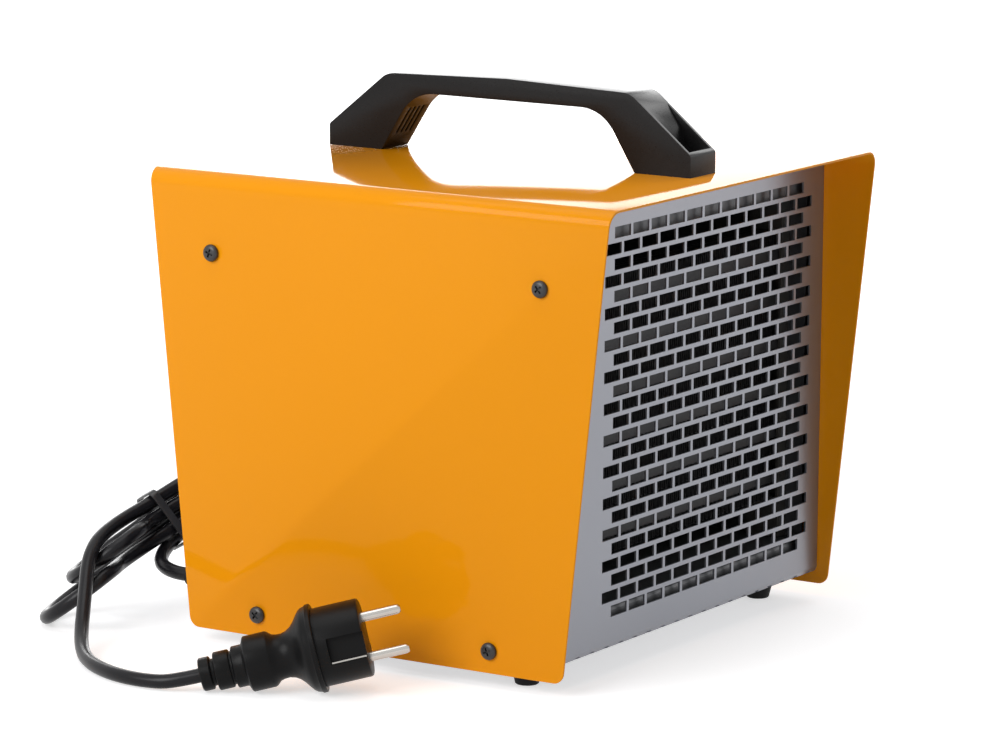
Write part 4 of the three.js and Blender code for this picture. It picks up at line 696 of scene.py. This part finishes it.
# %% Cover
WIDTH, TOP_DEPTH, BOTTOM_DEPTH = 258, 262, 215
COVER_LOW, COVER_TOP = 7, 233
COVER_SHEET, FOLD_RADIUS, CORNER_RADIUS = 1.2, 8, 5
HALFWAY = (COVER_LOW + COVER_TOP) / 2000
bpy.ops.object.select_all(action="DESELECT")
bpy.ops.mesh.primitive_cube_add(size=1, location=mm(0, 0, (COVER_LOW + COVER_TOP) / 2))
cover = bpy.context.object
cover.name = "folded_cover"
cover.scale = mm(WIDTH, TOP_DEPTH, COVER_TOP - COVER_LOW)
bpy.ops.object.transform_apply(location=True, rotation=True, scale=True)


def is_fold(edge):
    """True for the two top edges that run from front to rear."""
    start, end = ends(cover, edge)
    return min(start.z, end.z) > HALFWAY and abs(start.x - end.x) < 0.001


def is_low(vertex):
    return vertex.co.z < HALFWAY


select_where(cover, "FACE", lambda f: f.normal.z < -0.9 or abs(f.normal.y) > 0.9)
bpy.ops.mesh.delete(type="FACE")
select_where(cover, "VERT", is_low)
narrowing = (1, BOTTOM_DEPTH / TOP_DEPTH, 1)
bpy.ops.transform.resize(value=narrowing, center_override=(0, 0, COVER_LOW / 1000))
folds = select_where(cover, "EDGE", is_fold)
bpy.ops.mesh.bevel(offset=FOLD_RADIUS / 1000, segments=12, affect="EDGES")
corners = select_where(cover, "VERT", is_low)
bpy.ops.mesh.bevel(offset=CORNER_RADIUS / 1000, segments=6, affect="VERTICES")
bpy.ops.object.mode_set(mode="OBJECT")
sheet = cover.modifiers.new("sheet", "SOLIDIFY")
sheet.thickness = COVER_SHEET / 1000
sheet.offset = -1
sheet.use_even_offset = True
bpy.ops.object.modifier_apply(modifier=sheet.name)
soften(cover, 0.3, 2, 50)
settle(cover, orange_paint, "orange_paint", "housing", "cover")
print("folds:", folds, "corners:", corners)

# %% [markdown]
# ## Handle
# A black plastic bridge handle, moulded in one piece. Seen from the side it is an outline, so it is
# drawn flat and pulled out to its width. Each leg has a deep pocket behind its heel, which runs out
# in a ramp towards the grip, and four short grooves on its inner side. These are cut before the
# edges are softened, so that the rims are softened too.

# %% Handle bar
# The feet are drawn 1.5 mm too long, and are trimmed flat once the edges are softened.
HANDLE_LOW, FEET_DRAWN_TO = 233.02, 231.5
HANDLE_END, HEEL_HIGH = 105, 243.8
SHOULDER, SHOULDER_HIGH = 70.5, 271.7
HANDLE_HALF = 12
handle_outline = rounded_outline(
    [
        (-HANDLE_END, FEET_DRAWN_TO), (-74.63, FEET_DRAWN_TO), (-55, 262.9),
        (55, 262.9), (74.63, FEET_DRAWN_TO), (HANDLE_END, FEET_DRAWN_TO),
        (HANDLE_END, HEEL_HIGH), (SHOULDER, SHOULDER_HIGH), (0, 273.7),
        (-SHOULDER, SHOULDER_HIGH), (-HANDLE_END, HEEL_HIGH),
    ],
    [0, 0, 22, 22, 0, 0, 2, 12, 0, 12, 2],
    10,
)
handle = slab("bridge_handle", handle_outline, (-HANDLE_HALF, HANDLE_HALF), along_x)

# %% Pockets and grooves of the handle
slope = (SHOULDER_HIGH - HEEL_HIGH) / (HANDLE_END - SHOULDER)


def slant_at(y):
    """Height of the leg's outer slant."""
    return HEEL_HIGH + (HANDLE_END - y) * slope


pocket_outline = [
    (103.2, 240), (103.2, slant_at(103.2) + 4), (78.5, slant_at(78.5) + 4), (78.5, slant_at(78.5)),
    (87, slant_at(87) - 4), (88.5, 247), (95, 240),
]
for end in (-1, 1):
    outline = pocket_outline if end > 0 else [(-y, z) for y, z in reversed(pocket_outline)]
    cut(handle, slab("pocket", outline, (-10.2, 10.2), along_x))
# Where the leg's inner line starts, which way it runs, and which way is into the leg.
inner_start = Vector((73.5, 233.3))
inner_run = Vector((-0.530, 0.848))
into_leg = Vector((0.848, 0.530))
low, high = inner_start + inner_run * 9, inner_start + inner_run * 25
for end in (-1, 1):
    for x in (-6, -2, 2, 6):
        groove = [low - into_leg, high - into_leg, high + into_leg * 1.2, low + into_leg * 1.2]
        groove = [(end * y, z) for y, z in groove][::end]
        cut(handle, slab("groove", groove, (x - 0.8, x + 0.8), along_x))
soften(handle, 0.6, 3, 38)
below = rectangle((-110, 220), (110, HANDLE_LOW))
cut(handle, slab("trim", below, (-14, 14), along_x))
for end in (-1, 1):
    cut(handle, bore(2.8, 230, 241.9, 24, shift(0, end * 89.25, 0)))
settle(handle, black_plastic, "black_plastic", "housing", "handle", angle=40)

# %% [markdown]
# ## Plug
# The plug is moulded rubbery plastic: a stepped, ribbed tail that bends with the cord, a waist, a
# flange for the fingers, and a round body with two pins. It is turned, and then bores are cut for
# the pins and a notch in each side for an earth strip. It lies on the floor on its flange and tail.

# %% Place of the plug
plug_side = plug_along.cross(Vector((0, 0, 1))).normalized()
plug_up = plug_side.cross(plug_along)
plug_roll = Matrix.Rotation(math.radians(-10), 4, "Z")
plug_place = Matrix((plug_up, plug_side, plug_along)).transposed().to_4x4() @ plug_roll
plug_place = Matrix.Translation(PLUG_TAIL / 1000) @ plug_place
PIN_OFFSET = 9.5

# %% Plug body
plug = turned(
    "plug_moulding",
    [
        # the ribbed tail
        (0, 0), (7.4, 0), (8, 0.6), (8, 4.9), (7.6, 5.4), (6.6, 5.7), (6.5, 6.2), (6.5, 6.9),
        (6.8, 7.3), (8.8, 7.5), (9.2, 7.9), (9.2, 14.3), (8.9, 14.8), (8.1, 15.1), (8, 15.5),
        (8.1, 16.0), (9.6, 16.4), (10, 16.8), (10, 21), (10.3, 21.6), (12.8, 22.6), (13.4, 23.2),
        # the waist
        (13.4, 33.6), (13.0, 34.5), (11.2, 36.6), (10.7, 38.6), (10.6, 41), (11.3, 43.6),
        (12.6, 45.7), (14.6, 47.7), (17.2, 49.6), (19.2, 51.2), (20.2, 52.6), (20.7, 54.4),
        # the flange and the body
        (21.3, 55), (21.3, 56.8), (20.9, 57.2), (18.8, 57.2), (18.8, 78.7), (18.4, 79.6),
        (17.5, 80), (0, 80),
    ],
    64,
)
for side in (-1, 1):
    cut(plug, bore(2.7, 76, 81, 24, shift(side * PIN_OFFSET, 0, 0)))
    notch = rectangle((-8.6, 14.6), (4, 20.8))
    cut(plug, slab("notch", [(side * x, side * y) for x, y in notch], (62.7, 81)))
plug.data.transform(plug_place)
settle(plug, plug_rubber, "black_plastic", "housing", "plug_body")

# %% Pins and earth strips
pin_profile = [(0, 76.3), (2.4, 76.3), (2.4, 97), (2.2, 98), (1.6, 98.8), (0.8, 99), (0, 99)]
pin = turned("pin", pin_profile, 32)
for side, name in ((-1, "lower"), (1, "upper")):
    made = copy_of(pin, f"plug_contact_{name}", plug_place @ shift(side * PIN_OFFSET, 0, 0))
    settle(made, nickel, "nickel", "housing", f"plug_pin_{name}")
bpy.data.objects.remove(pin)
for side, name in ((-1, "left"), (1, "right")):
    ledge = rectangle((-8.3, 14.9), (-7.4, 16.6))
    strip = slab(f"earth_strip_{name}", [(side * x, side * y) for x, y in ledge], (63, 79.7))
    soften(strip, 0.12, 1)
    strip.data.transform(plug_place)
    settle(strip, nickel, "nickel", "housing", f"plug_earth_strip_{name}")

# %% [markdown]
# ## Tie and strain relief
# The tie is a flat band with round corners about the hank's waist. The strain relief is a
# ribbed, tapered sleeve that holds the cord where it leaves the rear panel: its ribs let it bend
# evenly, so the cord isn't kinked at the panel.

# %% Tie
band_outer = rounded_outline(rectangle((-11.2, -5.1), (11.2, 26.9)), [4.2] * 4)
band_inner = rounded_outline(rectangle((-10, -3.9), (10, 25.7)), [3] * 4)
tie = cut(slab("cord_band", band_outer, (-2, 2)), slab("inside", band_inner, (-4, 4)))
soften(tie, 0.25, 2)
tie_place = Matrix((hank_across, hank_up, hank_across.cross(hank_up))).transposed().to_4x4()
tie_place = Matrix.Translation(in_hank(WAIST, 0, 0) / 1000) @ tie_place
tie.data.transform(tie_place)
settle(tie, black_steel, "black_steel", "housing", "cord_tie")

# %% Strain relief
relief_profile = [
    (0, 0), (8.6, 0), (8.6, 3), (6.2, 3), (6.2, 4.6), (7.8, 4.6), (8.0, 5), (7.6, 7.4), (7.2, 8),
]
for i in range(5):
    z, radius = 8.2 + i * 2.9, 6.9 - 0.42 * i
    relief_profile += [(radius - 1.1, z), (radius - 1.1, z + 0.9)]
    relief_profile += [(radius, z + 1.1), (radius - 0.1, z + 2.7)]
relief_profile += [(4.9, 22.5), (3.9, 22.5), (3.9, 17), (0, 17)]
# Turns a piece that stands along Z so that it points to the rear.
facing_rear = Matrix(((1, 0, 0, 0), (0, 0, 1, 0), (0, -1, 0, 0), (0, 0, 0, 1)))
relief = turned("cord_relief", relief_profile, 40, shift(-112, 97.5, 28) @ facing_rear)
settle(relief, rubber, "rubber", "housing", "strain_relief")

# %% [markdown]
# ## Screws and feet
# Eight black pan-head screws hold the cover: a domed head with a cross recess, turned and then cut
# with two thin wedges. One is made and copied. The feet are push-in rubber buffers, turned once and
# copied four times, with a soft lower edge.

# %% Pan-head screw
screw = turned(
    "screw",
    [
        (0, -8), (1.2, -8), (1.75, -7.2), (1.75, 0), (4.0, 0), (4.2, 0.25),
        (4.2, 0.9), (3.95, 1.5), (3.4, 2.0), (2.5, 2.3), (1.2, 2.4), (0, 2.4),
    ],
    36,
)
for quarter in (0, 1):
    turned_bar = Matrix.Rotation(quarter * math.pi / 2, 4, "Z")
    cut(screw, slab("recess", rectangle((-2.1, -0.45), (2.1, 0.45)), (1.1, 3), turned_bar))
soften(screw, 0.08, 1, 50)
SCREW_FACE = 129.3
screw_spots = (
    (-93.8, 194, "upper_front"), (93.8, 194, "upper_rear"),
    (-67, 18, "lower_front"), (67, 18, "lower_rear"),
)
for side, side_name in ((-1, "left"), (1, "right")):
    for y, z, spot in screw_spots:
        # Each recess stops at an angle of its own, as screws do.
        drive = math.radians(23 + 31 * (y > 0) + 17 * (z > 100))
        place = (
            shift(side * SCREW_FACE, y, z)
            @ Matrix.Rotation(side * math.pi / 2, 4, "Y")
            @ Matrix.Rotation(drive, 4, "Z")
        )
        made = copy_of(screw, f"pan_screw_{side_name}_{spot}", place)
        settle(made, black_steel, "black_steel", "housing", f"screw_{side_name}_{spot}")
bpy.data.objects.remove(screw)

# %% Feet
buffer = turned(
    "buffer",
    [
        (0, 0.6), (2.8, 0.6), (3, 0), (5.2, 0), (5.8, 0.5), (6, 1.6), (8.6, 11.6), (8.5, 12.3),
        (8, 12.7), (3, 12.7), (3, 14.9), (4.5, 14.9), (4.1, 16.4), (3, 18.7), (0, 18.9),
    ],
    40,
)
FOOT_X, FOOT_Y = 111, 76.8
for side, side_name in ((-1, "left"), (1, "right")):
    for end, end_name in ((-1, "front"), (1, "rear")):
        place = shift(side * FOOT_X, end * FOOT_Y, 0)
        made = copy_of(buffer, f"buffer_{end_name}_{side_name}", place)
        settle(made, rubber, "rubber", "housing", f"foot_{end_name}_{side_name}")
bpy.data.objects.remove(buffer)

# %% [markdown]
# ## Heating bars
# Six flat bars lie across the duct behind the slots. A folded fin strip is bonded above and below
# each, and two tabs leave its left end. The strip is drawn as an open zigzag line, pulled out to its
# depth and given its thin thickness, so its folds show as fine lines through the slots. One bar is
# made and copied six times.

# %% Fin strip


def folded_strip(name, line, reach, thickness):
    """An open line of (x, z) in millimetres, pulled out along Y and given a sheet's thickness."""
    front, rear = reach
    piece = open_line(name, [mm(x, front, z) for x, z in line])
    bpy.ops.mesh.extrude_region_move(TRANSFORM_OT_translate={"value": (0, (rear - front) / 1000, 0)})
    bpy.ops.object.mode_set(mode="OBJECT")
    foil = piece.modifiers.new("foil", "SOLIDIFY")
    foil.thickness = thickness / 1000
    foil.offset = 0
    bpy.ops.object.modifier_apply(modifier=foil.name)
    tidy(piece)
    return piece


FIN_LOW, FIN_HIGH, FIN_PITCH, FIN_SHEET = 3.4, 11.0, 4.0, 0.25
FIN_START, FIN_COUNT = -77.2, 46
zigzag = []
for fold in range(FIN_COUNT):
    x = FIN_START + fold * FIN_PITCH
    zigzag += [(x, FIN_LOW), (x + 1.4, FIN_LOW), (x + 2.0, FIN_HIGH), (x + 3.4, FIN_HIGH)]
upper_fins = folded_strip("fins_above", zigzag, (-86.1, -73.1), FIN_SHEET)
lower_fins = copy_of(upper_fins, "fins_below", Matrix.Scale(-1, 4, Vector((0, 0, 1))))
tidy(lower_fins)

# %% Bars in their places
BAR_COUNT, BAR_SPACING, BAR_MIDDLE = 6, 22.86, 122.2
section = rounded_outline(rectangle((-87.1, -3.2), (-72.1, 3.2)), [0.9] * 4, 4)
bar = slab("heating_bar", section, (-83.9, 114.4), along_x)
parts_of_bar = [bar, upper_fins, lower_fins]
for y in (-83.4, -75.8):
    tab = slab("tab", rectangle((-98.6, y - 2.3), (-83, y + 2.3)), (-0.4, 0.4))
    parts_of_bar.append(cut(tab, bore(0.8, -1, 1, 16, shift(-97.0, y, 0))))
join(parts_of_bar)
for i in range(BAR_COUNT):
    height = BAR_MIDDLE + (i - (BAR_COUNT - 1) / 2) * BAR_SPACING
    made = copy_of(bar, f"element_bar_{i + 1}", shift(0, 0, height))
    settle(made, aluminium, "aluminium", "housing", f"heating_bar_{i + 1}")
bpy.data.objects.remove(bar)

# %% [markdown]
# ## Knobs and dials
# Two knobs turn on the rear panel: a low round skirt with a bar to grip, and a white line that points
# to the setting. The skirt and its stem are turned, the bar is a slab with soft edges, and they are
# fused into one piece. The dial round each knob is printed on the panel: short marks and plain
# numbers.

# %% Knob
mark_white = tune(
    finish(
        "printed_white", (0.62, 0.62, 0.60), (0.68, 0.68, 0.66), (0.45, 0.60),
        drift=80, grain=1500, bump=0.05,
    ),
    Specular_IOR_Level=0.3,
)
mark_black = tune(
    finish(
        "printed_black", (0.010, 0.010, 0.011), (0.016, 0.016, 0.017), (0.45, 0.60),
        drift=80, grain=1500, bump=0.05,
    ),
    Specular_IOR_Level=0.3,
)
skirt = [
    (0, -13.9), (2.8, -13.9), (3, -13.5), (3, 0), (13.2, 0), (13.8, 0.5),
    (13.9, 3.9), (13.5, 4.6), (12.4, 5.7), (11.8, 5.95), (0, 5.95),
]
FLUTES, FLUTE_CIRCLE = 30, 14.2
GRIP_TAPER = 0.8
knob = turned("knob", skirt, 60)
for i in range(FLUTES):
    a = i * 2 * math.pi / FLUTES
    beside = shift(FLUTE_CIRCLE * math.cos(a), FLUTE_CIRCLE * math.sin(a), 0)
    cut(knob, bore(0.55, -0.5, 6.5, 10, beside))
grip_outline = rounded_outline(rectangle((-3.4, -11.8), (3.4, 11.8)), [2.6] * 4)
grip = slab("grip", grip_outline, (3.2, 14.9))
for vertex in grip.data.vertices:
    if vertex.co.z > 0.014:
        vertex.co.x *= GRIP_TAPER
soften(grip, 0.8, 3, 50)
combine(knob, grip, "UNION")
tidy(knob)
pointer_outline = rounded_outline(rectangle((-0.5, -11), (0.5, -3)), [0.2] * 4, 2)
pointer = slab("pointer", pointer_outline, (14.7, 14.98))

# %% Knobs in their places
KNOB_X, KNOB_SEAT = -106, 104.8
KNOB_HEIGHTS = {"mode": 186.5, "thermostat": 139.5}
for name, z in KNOB_HEIGHTS.items():
    place = shift(KNOB_X, KNOB_SEAT, z) @ facing_rear
    made = copy_of(knob, f"{name}_dial_knob", place)
    settle(made, black_plastic, "black_plastic", f"{name}_control", f"{name}_knob")
    made = copy_of(pointer, f"{name}_pointer", place)
    settle(made, mark_white, "white_ceramic", f"{name}_control")
bpy.data.objects.remove(knob)
bpy.data.objects.remove(pointer)

# %% Printed dials
PANEL_FACE, INK = 101.83, 0.03
NUMBER_CIRCLE, NUMBER_SIZE = 18.4, 4.6
DIAL_STEP = 45
DIAL_NUMBERS = {"mode": "0123", "thermostat": "0123456"}


def printed(name, characters, size, x, z):
    """A number printed on the rear panel, read from behind the heater."""
    bpy.ops.object.select_all(action="DESELECT")
    bpy.ops.object.text_add()
    made = bpy.context.object
    made.name = name
    made.data.body = characters
    made.data.size = size / 1000
    made.data.align_x = "CENTER"
    made.data.align_y = "CENTER"
    made.data.resolution_u = 4
    made.data.extrude = INK / 1000
    only(made)
    bpy.ops.object.convert(target="MESH")
    made = bpy.context.object
    facing_back = Matrix(((-1, 0, 0, 0), (0, 0, 1, 0), (0, 1, 0, 0), (0, 0, 0, 1)))
    made.data.transform(shift(x, PANEL_FACE + INK, z) @ facing_back)
    tidy(made)
    return made


onto_panel = Matrix(((1, 0, 0, 0), (0, 0, 1, 0), (0, 1, 0, 0), (0, 0, 0, 1)))
for name, settings in DIAL_NUMBERS.items():
    z = KNOB_HEIGHTS[name]
    prints = []
    for i, setting in enumerate(settings):
        turn_to = math.radians(i * DIAL_STEP)
        x = KNOB_X - NUMBER_CIRCLE * math.sin(turn_to)
        height = z + NUMBER_CIRCLE * math.cos(turn_to)
        prints.append(printed(f"{name}_number", setting, NUMBER_SIZE, x, height))
        mark = slab("mark", rectangle((-0.3, 14.4), (0.3, 15.8)), (0, 2 * INK))
        mark.data.transform(Matrix.Rotation(turn_to, 4, "Z"))
        mark.data.transform(shift(KNOB_X, PANEL_FACE, z) @ onto_panel)
        prints.append(mark)
    join(prints)
    prints[0].name = f"{name}_dial_print"
    tidy(prints[0])
    settle(prints[0], mark_black, "black_plastic", "housing")

# %% [markdown]
# ## Size
# The dressed model stays inside the frame's own box.

# %% Finish
bpy.context.view_layer.update()
